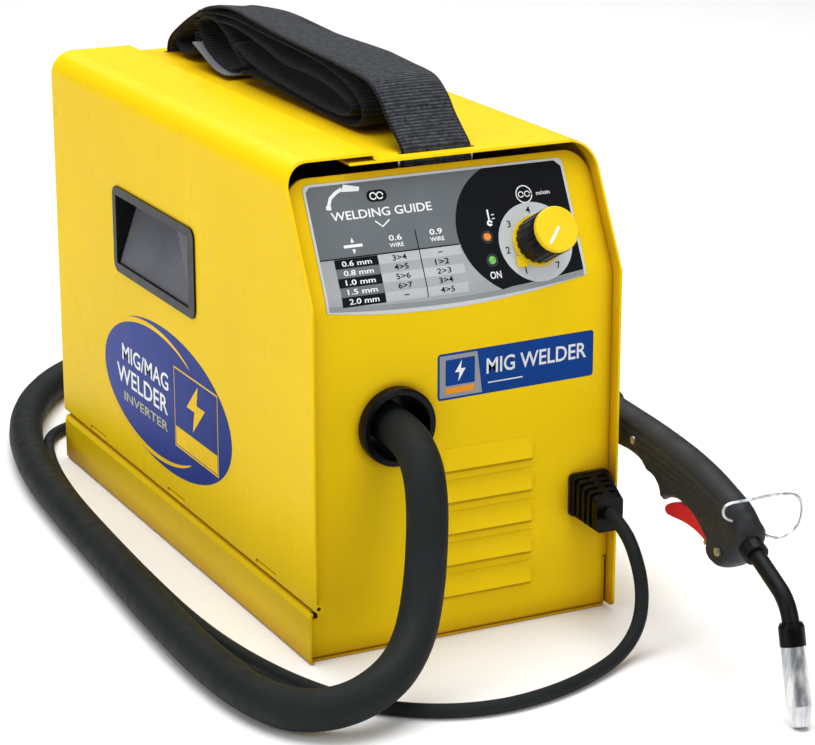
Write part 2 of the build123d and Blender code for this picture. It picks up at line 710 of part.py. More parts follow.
# The wire leaves the winding at a tangent and runs straight into the inlet guide
reach_y, reach_z = -72.0 - SPOOL_Y, WIRE_Z - SPOOL_Z
reach = (reach_y**2 + reach_z**2) ** 0.5
leave_r = WOUND_R + 1.0
leave = atan2(reach_z, reach_y) - (pi / 2 - atan2(leave_r, (reach**2 - leave_r**2) ** 0.5))
leave_point = (SPOOL_X + 8, SPOOL_Y + leave_r * cos(leave), SPOOL_Z + leave_r * sin(leave))
with BuildPart() as feed_wire:
    with BuildLine() as wire_path:
        FilletPolyline(
            leave_point, (WIRE_X, -70, WIRE_Z), (WIRE_X, -COLLAR_BACK + 4, WIRE_Z), radius=8
        )
    with BuildSketch(Plane(wire_path.line @ 0, z_dir=wire_path.line % 0)):
        Circle(WIRE_R)
    sweep()
write(feed_wire.part, "feed_wire")

# ---------------------------------------------------------------- electronics
with BuildPart() as transformer:
    for z, height in ((12.0, 14.0), (58.0, 14.0)):
        with BuildSketch(Plane.XY.offset(z)):
            with Locations((48, 40)):
                Rectangle(70, 46)
        extrude(amount=height)
    for x in (48.0 - 30, 48.0, 48.0 + 30):
        with BuildSketch(Plane.XY.offset(26.0)):
            with Locations((x, 40)):
                Rectangle(10 if x != 48.0 else 18, 46)
        extrude(amount=32)
    with BuildSketch(Plane.XY.offset(2 * SHEET)):
        with Locations((48, 40)):
            Rectangle(80, 40)
    extrude(amount=12 - 2 * SHEET)
write(transformer.part, "transformer")

with BuildPart() as transformer_winding:
    with BuildSketch(Plane.XY.offset(27.0)):
        with Locations((48, 40)):
            RectangleRounded(38, 66, 8)
            RectangleRounded(18.6, 46.6, 1, mode=Mode.SUBTRACT)
    extrude(amount=30)
write(transformer_winding.part, "transformer_winding")

with BuildPart() as heatsink:
    with BuildSketch(Plane.XZ.offset(-175)):
        with Locations((46, 98)):
            Rectangle(70, 5)
        with Locations((46, 84)):
            with GridLocations(8.5, 0, 8, 1):
                Rectangle(1.8, 24)
    extrude(amount=110)
write(heatsink.part, "heatsink")

with BuildPart() as power_board:
    with BuildSketch(Plane.XY.offset(232.0)):
        with Locations((44, 40)):
            Rectangle(106, 270)
    extrude(amount=1.6)
    with BuildSketch(Plane.XY.offset(233.6)):
        with Locations((20, 80), (46, 80), (72, 80)):
            Circle(12)
    extrude(amount=34)
    with BuildSketch(Plane.XY.offset(233.6)):
        with Locations((44, 0)):
            RectangleRounded(44, 36, 4)
        with Locations((78, -50)):
            Rectangle(18, 30)
        with Locations((10, -50)):
            Rectangle(16, 22)
    extrude(amount=20)
    with BuildSketch(Plane.XY.offset(206.0)):
        with Locations((20, 140), (48, 140), (76, 140)):
            Rectangle(17, 5)
    extrude(amount=26)
write(power_board.part, "power_board")

with BuildPart() as board_posts:
    for x, y in ((2.0, -82.0), (92.0, -82.0), (2.0, 168.0), (92.0, 168.0)):
        with BuildSketch(Plane.XY.offset(2 * SHEET)):
            with Locations((x, y)):
                RegularPolygon(4.0, 6)
        extrude(amount=232.0 - 2 * SHEET)
write(board_posts.part, "board_posts")

FAN_REAR = BASE_Y - SHEET
with BuildPart() as fan_frame:
    with BuildSketch(Plane.XZ.offset(-FAN_REAR)):
        with Locations((FAN_X, FAN_Z)):
            RectangleRounded(FAN_SIDE, FAN_SIDE, 5)
            Circle(FAN_SIDE / 2 - 2.5, mode=Mode.SUBTRACT)
    extrude(amount=FAN_T)
    with BuildSketch(Plane.XZ.offset(-FAN_REAR)):
        with Locations((FAN_X, FAN_Z)):
            Circle(17)
            with PolarLocations(30, 4, start_angle=45):
                Rectangle(34, 5)
            with GridLocations(82.5, 82.5, 2, 2):
                Circle(2.1, mode=Mode.SUBTRACT)
    extrude(amount=3)
    with BuildSketch(Plane.XZ.offset(-FAN_REAR + 3)):
        with Locations((FAN_X, FAN_Z)):
            Circle(3)
    extrude(amount=14)
write(fan_frame.part, "fan_frame")

with BuildPart() as fan_rotor:
    with BuildSketch(Plane.XZ.offset(-FAN_REAR + 4)):
        with Locations((FAN_X, FAN_Z)):
            Circle(16)
            Circle(3 + RUNNING, mode=Mode.SUBTRACT)
    extrude(amount=19)
    for blade in range(7):
        blade_plane = Plane(
            origin=(FAN_X, FAN_REAR - 13, FAN_Z),
            x_dir=(0, 1, 0),
            z_dir=(cos(2 * pi * blade / 7), 0, sin(2 * pi * blade / 7)),
        ).offset(15)
        with BuildSketch(blade_plane):
            Rectangle(19, 1.6, rotation=40)
        with BuildSketch(blade_plane.offset(26)):
            Rectangle(20, 1.4, rotation=25)
        loft()
write(fan_rotor.part, "fan_rotor")

with BuildPart() as switch_body:
    with BuildSketch(Plane.XZ.offset(-BASE_Y)):
        with Locations((SWITCH_X, SWITCH_Z)):
            RectangleRounded(31, 25.5, 1.5)
            Rectangle(24, 14, mode=Mode.SUBTRACT)
    extrude(amount=-2)
    with BuildSketch(Plane.XZ.offset(-BASE_Y)):
        with Locations((SWITCH_X, SWITCH_Z)):
            Rectangle(26.6, 21.1)
            Rectangle(24, 14, mode=Mode.SUBTRACT)
    extrude(amount=16)
    with BuildSketch(Plane.XZ.offset(-BASE_Y + 16)):
        with Locations((SWITCH_X, SWITCH_Z)):
            Rectangle(26.6, 21.1)
    extrude(amount=6)
write(switch_body.part, "switch_body")

ROCKER_Y, ROCKER_HALF = BASE_Y - 3.0, 10.6
with BuildPart() as switch_rocker:
    with BuildSketch(Plane.XY.offset(SWITCH_Z - 6.6)):
        with BuildLine():
            Polyline(
                (SWITCH_X + ROCKER_HALF, BASE_Y + 5.0),
                (SWITCH_X + ROCKER_HALF, ROCKER_Y - 2.5),
                (SWITCH_X - ROCKER_HALF, ROCKER_Y - 2.5),
                (SWITCH_X - ROCKER_HALF, BASE_Y + 5.0),
            )
            ThreePointArc(
                (SWITCH_X - ROCKER_HALF, BASE_Y + 5.0),
                (SWITCH_X, BASE_Y + 2.2),
                (SWITCH_X + ROCKER_HALF, BASE_Y + 5.0),
            )
        make_face()
    extrude(amount=13.2)
write(switch_rocker.part, "switch_rocker")

with BuildPart() as work_socket:
    with BuildSketch(Plane.XZ.offset(-BASE_Y)):
        with Locations((SOCKET_X, SOCKET_Z)):
            Circle(19)
    extrude(amount=-6)
    with BuildSketch(Plane.XZ.offset(-BASE_Y)):
        with Locations((SOCKET_X, SOCKET_Z)):
            Circle(12.9)
    extrude(amount=24)
    with BuildSketch(Plane.XZ.offset(-BASE_Y - 6)):
        with Locations((SOCKET_X, SOCKET_Z)):
            Circle(SOCKET_BORE)
    extrude(amount=24, mode=Mode.SUBTRACT)
    fillet(work_socket.faces().sort_by(Axis.Y)[-1].edges().sort_by(SortBy.LENGTH)[-1], radius=2)
write(work_socket.part, "work_socket")

# ---------------------------------------------------------------- controls on the sloping panel
with BuildPart() as control_label:
    # film that follows the panel over its bend
    with BuildSketch(Plane.YZ.offset(LABEL_LEFT)):
        with BuildLine():
            FilletPolyline(
                (-BASE_Y, PANEL_KNEE - 20),
                (-BASE_Y, PANEL_KNEE),
                (panel_rear_y, PANEL_TOP),
                radius=PANEL_BEND,
            )
            offset(amount=LABEL_T, side=Side.LEFT)
        make_face()
    extrude(amount=LABEL_RIGHT - LABEL_LEFT)
    with BuildSketch(CONTROLS.offset(-12)) as outline:
        with BuildLine():
            Polyline(
                (LABEL_LEFT, LABEL_FOOT[0]),
                (LABEL_LEFT, LABEL_TOP),
                (LABEL_RIGHT, LABEL_TOP),
                (LABEL_RIGHT, LABEL_FOOT[2]),
            )
            ThreePointArc(
                (LABEL_RIGHT, LABEL_FOOT[2]),
                ((LABEL_LEFT + LABEL_RIGHT) / 2, LABEL_FOOT[1]),
                (LABEL_LEFT, LABEL_FOOT[0]),
            )
        make_face()
        fillet(outline.vertices().group_by(Axis.Y)[-1], radius=4)
        with Locations((DIAL_X, DIAL_Y)):
            Circle(SHAFT_R + 1.0, mode=Mode.SUBTRACT)
        with Locations(*[(LED_X, y) for y in LED_YS]):
            Circle(LED_R, mode=Mode.SUBTRACT)
    extrude(amount=20, mode=Mode.INTERSECT)
write(control_label.part, "control_label")

with BuildPart() as indicators:
    for y in LED_YS:
        with BuildSketch(CONTROLS.offset(-6)):
            with Locations((LED_X, y)):
                Circle(LED_R)
        extrude(amount=7.5)
    fillet(indicators.faces().sort_by(Axis(CONTROLS.origin, CONTROLS.z_dir))[-2:].edges(), radius=1.2)
write(indicators.part, "indicators")

with BuildPart() as potentiometer:
    with BuildSketch(CONTROLS.offset(-SHEET)):
        with Locations((DIAL_X, DIAL_Y)):
            Circle(12)
            Circle(SHAFT_R + RUNNING, mode=Mode.SUBTRACT)
    extrude(amount=-12)
    with BuildSketch(CONTROLS.offset(-SHEET - 12)):
        with Locations((DIAL_X, DIAL_Y - 6)):
            Rectangle(20, 30)
    extrude(amount=-2)
write(potentiometer.part, "potentiometer")

DIAL_BASE = LABEL_T + 0.8
with BuildPart() as dial_skirt:
    with BuildSketch(CONTROLS.offset(DIAL_BASE)):
        with Locations((DIAL_X, DIAL_Y)):
            Circle(16)
            # pointer tip towards the low end of the scale
            with PolarLocations(17.4, 1, start_angle=222):
                Rectangle(6.5, 6.5, rotation=45)
            Circle(SHAFT_R, mode=Mode.SUBTRACT)
    extrude(amount=2.2)
write(dial_skirt.part, "dial_skirt")

KNOB_FLUTES, FLUTE_R = 20, 1.3
with BuildPart() as dial_knob:
    with BuildSketch(CONTROLS.offset(DIAL_BASE + 2.2)):
        with Locations((DIAL_X, DIAL_Y)):
            Circle(14.6)
            with PolarLocations(15.2, KNOB_FLUTES):
                Circle(FLUTE_R, mode=Mode.SUBTRACT)
    extrude(amount=23.8)
    with BuildSketch(CONTROLS.offset(-12)):
        with Locations((DIAL_X, DIAL_Y)):
            Circle(SHAFT_R)
    extrude(amount=DIAL_BASE + 14.2)
write(dial_knob.part, "dial_knob")

with BuildPart() as dial_cap:
    with BuildSketch(CONTROLS.offset(DIAL_BASE + 26)):
        with Locations((DIAL_X, DIAL_Y)):
            Circle(14.2)
    extrude(amount=4)
    fillet(dial_cap.faces().sort_by(Axis(CONTROLS.origin, CONTROLS.z_dir))[-1].edges(), radius=1.2)
write(dial_cap.part, "dial_cap")

# ---------------------------------------------------------------- outlets on the front panel
with BuildPart() as hose_collar:
    with BuildSketch(Plane.XZ.offset(BASE_Y)):
        with Locations((WIRE_X, WIRE_Z)):
            Circle(COLLAR_R)
    extrude(amount=COLLAR_OUT)
    with BuildSketch(Plane.XZ.offset(COLLAR_BACK - 2)):
        with Locations((WIRE_X, WIRE_Z)):
            Circle(COLLAR_BORE + 1.4)
    extrude(amount=BASE_Y - COLLAR_BACK + 2)
    with BuildSketch(Plane.XZ.offset(COLLAR_BACK)):
        with Locations((WIRE_X, WIRE_Z)):
            Circle(COLLAR_BORE)
    extrude(amount=BASE_Y - COLLAR_BACK + COLLAR_OUT, mode=Mode.SUBTRACT)
    with BuildSketch(Plane.XZ.offset(COLLAR_BACK - 2)):
        with Locations((WIRE_X, WIRE_Z)):
            Circle(1.2)
    extrude(amount=2, mode=Mode.SUBTRACT)
    fillet(hose_collar.faces().sort_by(Axis.Y)[0].edges(), radius=1.6)
write(hose_collar.part, "hose_collar")

with BuildPart() as mains_gland:
    with BuildSketch(Plane.XZ.offset(BASE_Y)):
        with Locations((GLAND_X, GLAND_Z)):
            RectangleRounded(GLAND_W, GLAND_W, 3)
    extrude(amount=3)
    with BuildSketch(Plane.XZ.offset(BASE_Y + 3)):
        with Locations((GLAND_X, GLAND_Z)):
            RectangleRounded(GLAND_W - 1, GLAND_W - 1, 3)
    with BuildSketch(Plane.XZ.offset(NOSE_Y)):
        with Locations((GLAND_X, NOSE_Z)):
            RectangleRounded(NOSE_W, NOSE_H, 3)
    loft()
    # snap-in root behind the panel
    with BuildSketch(Plane.XZ.offset(BASE_Y)):
        with Locations((GLAND_X, GLAND_Z)):
            Rectangle(GLAND_W - 8.4, GLAND_W - 8.4)
    extrude(amount=-12)
    # flexing ribs: grooves round a solid core
    for groove in range(4):
        depth = BASE_Y + 6.0 + 5.0 * groove
        drop = (GLAND_Z - NOSE_Z) * (groove + 1) / 5
        with BuildSketch(Plane.XZ.offset(depth)):
            with Locations((GLAND_X, GLAND_Z)):
                Rectangle(GLAND_W + 2, GLAND_W + 8)
            with Locations((GLAND_X, GLAND_Z - drop)):
                Rectangle(14, 15, mode=Mode.SUBTRACT)
                Rectangle(5, GLAND_W + 20, mode=Mode.SUBTRACT)
        extrude(amount=2.2, mode=Mode.SUBTRACT)
write(mains_gland.part, "mains_gland")

write(tube(HOSE_ROUTE, HOSE_R, "torch_hose"), "torch_hose")
write(tube(LEAD_ROUTE, CORD_R, "mains_lead"), "mains_lead")

# ---------------------------------------------------------------- coil and plug of the mains lead
COIL_TOP = COIL_Z + CORD_R + 0.2
with BuildPart() as lead_coil:
    with BuildSketch(Plane.XY.offset(COIL_Z - CORD_R)):
        with Locations((COIL_X, COIL_Y)):
            Circle(COIL_OUTER + CORD_R)
            Circle(COIL_INNER - CORD_R, mode=Mode.SUBTRACT)
    extrude(amount=COIL_TOP - COIL_Z + CORD_R)
    fillet(lead_coil.edges().filter_by(GeomType.CIRCLE), radius=3.0)
write(lead_coil.part, "lead_coil")

TIE_INNER_W = COIL_OUTER - COIL_INNER + 2 * CORD_R + 1.0
with BuildPart() as coil_tie:
    with BuildSketch(Plane.YZ.offset(COIL_X - TIE_WIDE / 2)):
        with Locations((COIL_Y + (COIL_OUTER + COIL_INNER) / 2, (COIL_TOP + 0.3 + TIE_T) / 2)):
            RectangleRounded(TIE_INNER_W + 2 * TIE_T, COIL_TOP + 0.3 + TIE_T, 2.6)
            RectangleRounded(TIE_INNER_W, COIL_TOP + 0.3 - TIE_T, 2.0, mode=Mode.SUBTRACT)
    extrude(amount=TIE_WIDE)
write(coil_tie.part, "coil_tie")

write(tube(PLUG_ROUTE, CORD_R, "plug_lead"), "plug_lead")

with BuildPart() as mains_plug:
    plug_start = Vector(*PLUG_ROUTE[-1])
    plug_plane = Plane(origin=plug_start, z_dir=plug_start - Vector(*PLUG_ROUTE[-2]))
    with BuildSketch(plug_plane):
        Circle(6.2)
    with BuildSketch(plug_plane.offset(22)):
        Circle(9.0)
    loft()
    with BuildSketch(plug_plane.offset(22)):
        Circle(12.0)
    with BuildSketch(plug_plane.offset(34)):
        Circle(18.2)
    loft()
    with BuildSketch(plug_plane.offset(34)):
        Circle(18.2)
    extrude(amount=16)
    with BuildSketch(plug_plane.offset(50)):
        with GridLocations(19, 0, 2, 1):
            Circle(2.4)
    extrude(amount=18.5)
write(mains_plug.part, "mains_plug")

# ---------------------------------------------------------------- torch
TRIGGER_SLOT = 7.6
HANDLE_WALL = 2.8
HANDLE_SCREWS = ((84.0, 80.0), (196.0, 115.0))
HOOK_S = 72.0
HOOK_A, HOOK_B = Vector(-HANDLE_HALF, 104.0), Vector(HANDLE_HALF, 92.5)
LOOP_R = 0.9
NOSE_X, NOSE_UP = sin(radians(NOZZLE_LEAN)), cos(radians(NOZZLE_LEAN))
TIP_Z = NOZZLE_TIP_R * sin(radians(NOZZLE_LEAN)) + 0.05  # the rim's lowest point is on the floor
tip = on_torch(0, TIP_Z)
nose_axis = on_torch(NOSE_X, TIP_Z + NOSE_UP) - tip
NOSE = Plane(origin=tip, x_dir=nose_axis, z_dir=TORCH.z_dir)  # x up the nozzle, y radial
NOSE_AXIS = Axis(tip, nose_axis)


def nose_point(along):
    """Torch-plane coordinates of a point on the nozzle's axis."""
    return (along * NOSE_X, TIP_Z + along * NOSE_UP)


with BuildPart() as nozzle:
    with BuildSketch(NOSE):
        Polygon(
            (0, NOZZLE_TIP_R),
            (12, NOZZLE_R),
            (NOZZLE_L, NOZZLE_R),
            (NOZZLE_L, NOZZLE_BORE),
            (13, NOZZLE_BORE),
            (3, NOZZLE_TIP_R - 1.1),
            (0, NOZZLE_TIP_R - 1.1),
            align=None,
        )
    revolve(axis=NOSE_AXIS)
write(nozzle.part, "nozzle")

with BuildPart() as contact_tip:
    with BuildSketch(NOSE):
        Polygon(
            (1.5, 0.6), (1.5, 1.8), (6, 3.0), (27, 3.0), (27, 0.6), align=None
        )
    revolve(axis=NOSE_AXIS)
write(contact_tip.part, "contact_tip")

with BuildPart() as nozzle_insulator:
    with BuildSketch(NOSE):
        Polygon(
            (NOZZLE_L, 5.6),
            (NOZZLE_L, 7.7),
            (NOZZLE_L + 11, 7.7),
            (NOZZLE_L + 13.5, 6.6),
            (NOZZLE_L + 13.5, 5.6),
            align=None,
        )
    revolve(axis=NOSE_AXIS)
write(nozzle_insulator.part, "nozzle_insulator")

with BuildPart() as torch_neck:
    neck_points = [nose_point(40), nose_point(71), NECK_ROOT]
    with BuildLine(TORCH) as neck_path:
        FilletPolyline(*neck_points, radius=26)
    with BuildSketch(Plane(neck_path.line @ 0, z_dir=neck_path.line % 0)):
        Circle(5.1)
    sweep()
    # tip holder inside the nozzle
    with BuildSketch(NOSE):
        Polygon((27, 0), (27, 5.6), (44, 5.6), (44, 0), align=None)
    revolve(axis=NOSE_AXIS)
    # root nut against the handle's front
    neck_dir = neck_path.line % 1
    with BuildSketch(Plane(origin=on_torch(*NECK_ROOT) - neck_dir * 42, z_dir=neck_dir)):
        RegularPolygon(7.6, 12)
    extrude(amount=16)
write(torch_neck.part, "torch_neck")


def handle_outline():
    """Side view of the handle, in the torch's plane."""
    with BuildSketch(TORCH) as outline:
        with BuildLine():
            Spline(
                (66, 105), (77, 111.5), (92, 115.6), (118, 121), (150, 124.6), (190, 126.6), (230, 127),
                (HANDLE_END, 127),
            )
            Line((HANDLE_END, 127), (HANDLE_END, 102))
            Spline(
                (HANDLE_END, 102), (235, 101.5), (218, 102.6), (202, 103.6), (188, 102.4), (179, 98)
            )
            Spline((179, 98), (170, 97.2), (163, 93), (161.5, 84.5))
            ThreePointArc((161.5, 84.5), (131, 92.6), (104, 80))
            Spline((104, 80), (102, 72.5), (95, 68.3), (84, 68.6), (74.5, 75.5))
            Spline((74.5, 75.5), (66, 86), (63, 97), (66, 105))
        make_face()
        fillet(outline.vertices(), radius=1.0)
    return outline.sketch


def handle_shell(side):
    """One half of the handle; side is -1 for the left and 1 for the right."""
    with BuildPart() as shell:
        extrude(handle_outline(), amount=side * HANDLE_HALF)
        outer = shell.faces().sort_by(Axis(TORCH.origin, TORCH.z_dir))[-1 if side > 0 else 0]
        fillet(outer.edges(), radius=2.4)
        # hollow
        with BuildSketch(TORCH):
            Polygon(
                (74, 102), (95, 111.5), (125, 118), (170, 122.5), (258, 123.5), (258, 105.5),
                (200, 107), (176, 101.5), (158, 100), (131, 97), (110, 89), (99, 73), (86, 72.5),
                (75, 83), align=None,
            )
        extrude(amount=side * (HANDLE_HALF - HANDLE_WALL), mode=Mode.SUBTRACT)
        # slot for the trigger, and the way in for the neck
        with BuildSketch(TORCH):
            Polygon((96.5, 64), (162, 70), (162, 97), (96.5, 97), align=None)
        extrude(amount=side * TRIGGER_SLOT, mode=Mode.SUBTRACT)
        with BuildSketch(Plane(origin=on_torch(*NECK_ROOT) - neck_dir * 60, z_dir=neck_dir)):
            Circle(7.7)
        extrude(amount=44, mode=Mode.SUBTRACT)
        # holes for the screws, the trigger's pin and the hanging loop
        with BuildSketch(TORCH.offset(-HANDLE_HALF)):
            with Locations(*HANDLE_SCREWS):
                Circle(1.4)
            with Locations(TRIGGER_PIVOT):
                Circle(1.5)
        extrude(amount=2 * HANDLE_HALF - 1, mode=Mode.SUBTRACT)
        with BuildSketch(TORCH.offset(-HANDLE_HALF)):
            with Locations(*HANDLE_SCREWS):
                Circle(2.6)
        extrude(amount=1.4, mode=Mode.SUBTRACT)
        loop_start = on_torch(HOOK_S, HOOK_A.Y, HOOK_A.X)
        loop_end = on_torch(HOOK_S, HOOK_B.Y, HOOK_B.X)
        with BuildSketch(Plane(origin=loop_start * 1.2 - loop_end * 0.2, z_dir=loop_end - loop_start)):
            Circle(LOOP_R + RUNNING)
        extrude(amount=40, mode=Mode.SUBTRACT)
    return shell.part


write(handle_shell(-1), "handle_left")
write(handle_shell(1), "handle_right")

with BuildPart() as handle_screws:
    for spot in HANDLE_SCREWS:
        with BuildSketch(TORCH.offset(-HANDLE_HALF - 0.6)):
            with Locations(spot):
                Circle(2.6)
        extrude(amount=2.0)
        with BuildSketch(TORCH.offset(-HANDLE_HALF + 1.4)):
            with Locations(spot):
                Circle(1.4)
        extrude(amount=2 * HANDLE_HALF - 2.4)
    # pin of the trigger
    with BuildSketch(TORCH.offset(-HANDLE_HALF + 1)):
        with Locations(TRIGGER_PIVOT):
            Circle(1.5)
    extrude(amount=2 * HANDLE_HALF - 2)
write(handle_screws.part, "handle_screws")

with BuildPart() as trigger:
    with BuildSketch(TORCH.offset(-7)):
        with BuildLine():
            ThreePointArc((160.0, 83.0), (131, 91.2), (106.5, 81.5))
            Spline((106.5, 81.5), (101.5, 79.6), (103.0, 76.0))
            Spline((103.0, 76.0), (117, 79.6), (135, 80.4), (152, 78.6), (158, 78.2))
            Spline((158, 78.2), (161.0, 80.2), (160.0, 83.0))
        make_face()
        with Locations(TRIGGER_PIVOT):
            Circle(3.6)
            Circle(1.5 + RUNNING, mode=Mode.SUBTRACT)
    extrude(amount=14)
write(trigger.part, "trigger")

with BuildPart() as trigger_switch:
    with BuildSketch(TORCH.offset(-HANDLE_HALF + HANDLE_WALL)):
        Polygon((112, 102), (134, 105), (133, 115), (111, 112), align=None)
    extrude(amount=2 * (HANDLE_HALF - HANDLE_WALL))
write(trigger_switch.part, "trigger_switch")

with BuildPart() as hose_boot:
    boot_plane = Plane(origin=on_torch(HANDLE_END, HANDLE_AXIS_Z), z_dir=TORCH.x_dir)
    with BuildSketch(boot_plane):
        Circle(15.2)
    with BuildSketch(boot_plane.offset(26)):
        Circle(13.9)
    loft()
    with BuildSketch(boot_plane):
        Circle(HOSE_R + RUNNING)
    extrude(amount=26, mode=Mode.SUBTRACT)
write(hose_boot.part, "hose_boot")

# Wire loop that hangs the torch up; its two ends turn in the handle on one line
hook_line = (HOOK_B - HOOK_A).normalized()
hook_plane = Plane(origin=on_torch(HOOK_S, 0), x_dir=TORCH.z_dir, z_dir=-TORCH.x_dir)
with BuildPart() as hanging_loop:
    loop_in_a = HOOK_A + hook_line * 2.0
    loop_out_a = HOOK_A - hook_line * 4.0
    loop_out_b = HOOK_B + hook_line * 3.5
    loop_in_b = HOOK_B - hook_line * 2.0
    with BuildLine(hook_plane) as loop_path:
        FilletPolyline(
            (loop_in_a.X, loop_in_a.Y),
            (loop_out_a.X, loop_out_a.Y),
            (-13.5, 113.5),
            (17, 114.0),
            (33, 109.0),
            (34, 95.5),
            (23, 87.6),
            (loop_out_b.X, loop_out_b.Y),
            (loop_in_b.X, loop_in_b.Y),
            radius=(1.6, 3.0, 12.0, 5.5, 5.5, 2.2, 1.6),
        )
    with BuildSketch(Plane(loop_path.line @ 0, z_dir=loop_path.line % 0)):
        Circle(LOOP_R)
    sweep(transition=Transition.ROUND)
write(hanging_loop.part, "hanging_loop")

# ---------------------------------------------------------------- strap and fasteners
with BuildPart() as carry_strap:
    strap_base = COVER_TOP + 0.4
    with BuildSketch(Plane.YZ.offset(STRAP_X - STRAP_W / 2)):
        with BuildLine():
            Spline(
                (-175, strap_base), (-162, 312), (-146, 328), (-122, 337.5), (-50, 342), (20, 345.5),
                (86, 350), (126, 346), (166, 333), (202, 318), (215, 309), (217, strap_base),
            )
            Line((217, strap_base), (206, strap_base))
            Spline(
                (206, strap_base), (194, 314), (163, 327.5), (124, 340.5), (86, 344.5), (20, 340),
                (-50, 336.5), (-119, 332), (-141, 323), (-156, 308), (-167, strap_base),
            )
            Line((-167, strap_base), (-175, strap_base))
        make_face()
    extrude(amount=STRAP_W)
    # the ends go down through the slots
    with BuildSketch(Plane.XY.offset(COVER_TOP - 18)):
        with Locations((STRAP_X, STRAP_FRONT_Y), (STRAP_X, STRAP_REAR_Y)):
            Rectangle(STRAP_W, 2)
    extrude(amount=19)
write(carry_strap.part, "carry_strap")

with BuildPart() as strap_anchors:
    for y in (STRAP_FRONT_Y, STRAP_REAR_Y):
        side = 1 if y < 0 else -1
        with BuildSketch(Plane.XY.offset(COVER_TOP - 18)):
            with Locations((STRAP_X, y + side * 1.8)):
                Rectangle(STRAP_W + 4, 1.6)
        extrude(amount=18 - SHEET)
write(strap_anchors.part, "strap_anchors")

with BuildPart() as case_screws:
    for y, z in RIGHT_SCREWS:
        with BuildSketch(Plane.YZ.offset(HALF_W)):
            with Locations((y, z)):
                Circle(3.8)
        extrude(amount=2)
        with BuildSketch(Plane.YZ.offset(HALF_W)):
            with Locations((y, z)):
                Circle(SCREW_R)
        extrude(amount=-8)
    for x, z in REAR_SCREWS:
        with BuildSketch(Plane.XZ.offset(-BASE_Y)):
            with Locations((x, z)):
                Circle(3.8)
        extrude(amount=-2)
        with BuildSketch(Plane.XZ.offset(-BASE_Y)):
            with Locations((x, z)):
                Circle(SCREW_R)
        extrude(amount=8)
write(case_screws.part, "case_screws")
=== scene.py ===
"""Looks of the portable wire-feed welding inverter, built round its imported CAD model.

Metres, in the part's own frame: +X to the right as seen from the front, +Y to the rear, +Z up.
Layouts of printed surfaces are written in millimetres and turned into metres by MM.
"""

from math import atan2, cos, exp, pi, radians, sin, sqrt, tan

import bmesh
import bpy
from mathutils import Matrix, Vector
from mathutils.geometry import delaunay_2d_cdt


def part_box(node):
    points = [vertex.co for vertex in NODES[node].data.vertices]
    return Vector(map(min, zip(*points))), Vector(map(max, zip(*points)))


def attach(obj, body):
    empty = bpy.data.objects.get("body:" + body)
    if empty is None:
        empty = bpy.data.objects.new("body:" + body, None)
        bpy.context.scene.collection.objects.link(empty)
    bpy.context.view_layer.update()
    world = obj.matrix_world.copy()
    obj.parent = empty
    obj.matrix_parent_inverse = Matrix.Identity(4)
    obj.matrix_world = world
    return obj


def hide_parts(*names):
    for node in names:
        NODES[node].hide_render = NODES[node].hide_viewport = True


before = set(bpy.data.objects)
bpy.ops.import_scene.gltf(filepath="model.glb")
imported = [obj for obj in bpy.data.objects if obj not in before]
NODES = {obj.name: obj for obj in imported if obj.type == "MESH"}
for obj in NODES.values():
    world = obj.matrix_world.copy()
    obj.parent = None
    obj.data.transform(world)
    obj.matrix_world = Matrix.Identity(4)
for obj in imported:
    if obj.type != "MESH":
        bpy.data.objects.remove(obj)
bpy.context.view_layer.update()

MM = 0.001
SCENE = bpy.context.scene

# Places of the case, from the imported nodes
CASE_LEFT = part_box("door_panel")[0][0] / MM
PANEL_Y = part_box("rear_panel")[1][1] / -MM

# Sloping panel: it leans back above the case's knee, HOOD inside the cover's outline
SETBACK, SLOPE_RISE = 42.0, 80.0
KNEE_Z, HOOD = 224.0, 9.0
LEAN = atan2(SETBACK, SLOPE_RISE)
PANEL_KNEE = KNEE_Z - HOOD * tan(LEAN / 2)
PANEL_BEND = 32.0  # radius of the bend below the slope
FILM = 0.4  # thickness of the label's film
BEND_START = PANEL_BEND * tan(LEAN / 2)
DIAL_X, DIAL_S = 54.6, 24.2
LAMP_X, LAMP_S = 22.7, (16.0, 30.6)


def linked(name, data):
    """A new object in the scene."""
    obj = bpy.data.objects.new(name, data)
    SCENE.collection.objects.link(obj)
    return obj


# -------- surfaces that print lies on
def on_panel(x, s, lift):
    """Sloping panel's film: x to the right and s up the slope; it follows the bend below."""
    reach = BEND_START - s
    outer = PANEL_BEND + FILM
    end = outer * sin(LEAN)
    if reach <= 0:
        out = FILM + lift
    elif reach < end:
        out = sqrt((outer + lift) ** 2 - reach**2) - PANEL_BEND
    else:
        out = sqrt((outer + lift) ** 2 - end**2) - PANEL_BEND - (reach - end) * tan(LEAN)
    y = PANEL_Y + s * sin(LEAN) - out * cos(LEAN)
    z = PANEL_KNEE + s * cos(LEAN) + out * sin(LEAN)
    return Vector((x, y, z)) * MM


def on_door(u, z, lift):
    """Door's outer side: u runs to the front."""
    return Vector((CASE_LEFT - lift, -u, z)) * MM


def on_front(x, z, lift):
    """Upright part of the front panel."""
    return Vector((x, PANEL_Y - lift, z)) * MM


# -------- camera
CAMERA_DOWN, CAMERA_RIGHT = 17.137, 26.558  # degrees below the horizon and to the right of straight ahead


def make_camera():
    """Camera in front of the case, to its left and slightly above it."""
    data = bpy.data.cameras.new("camera")
    data.sensor_fit = "HORIZONTAL"
    data.sensor_width = 36.0
    data.lens = 118.18
    camera = linked("camera", data)
    camera.location = (-0.7237, -1.5853, 0.6482)
    camera.rotation_euler = (radians(90 - CAMERA_DOWN), 0, radians(-CAMERA_RIGHT))
    SCENE.camera = camera


make_camera()


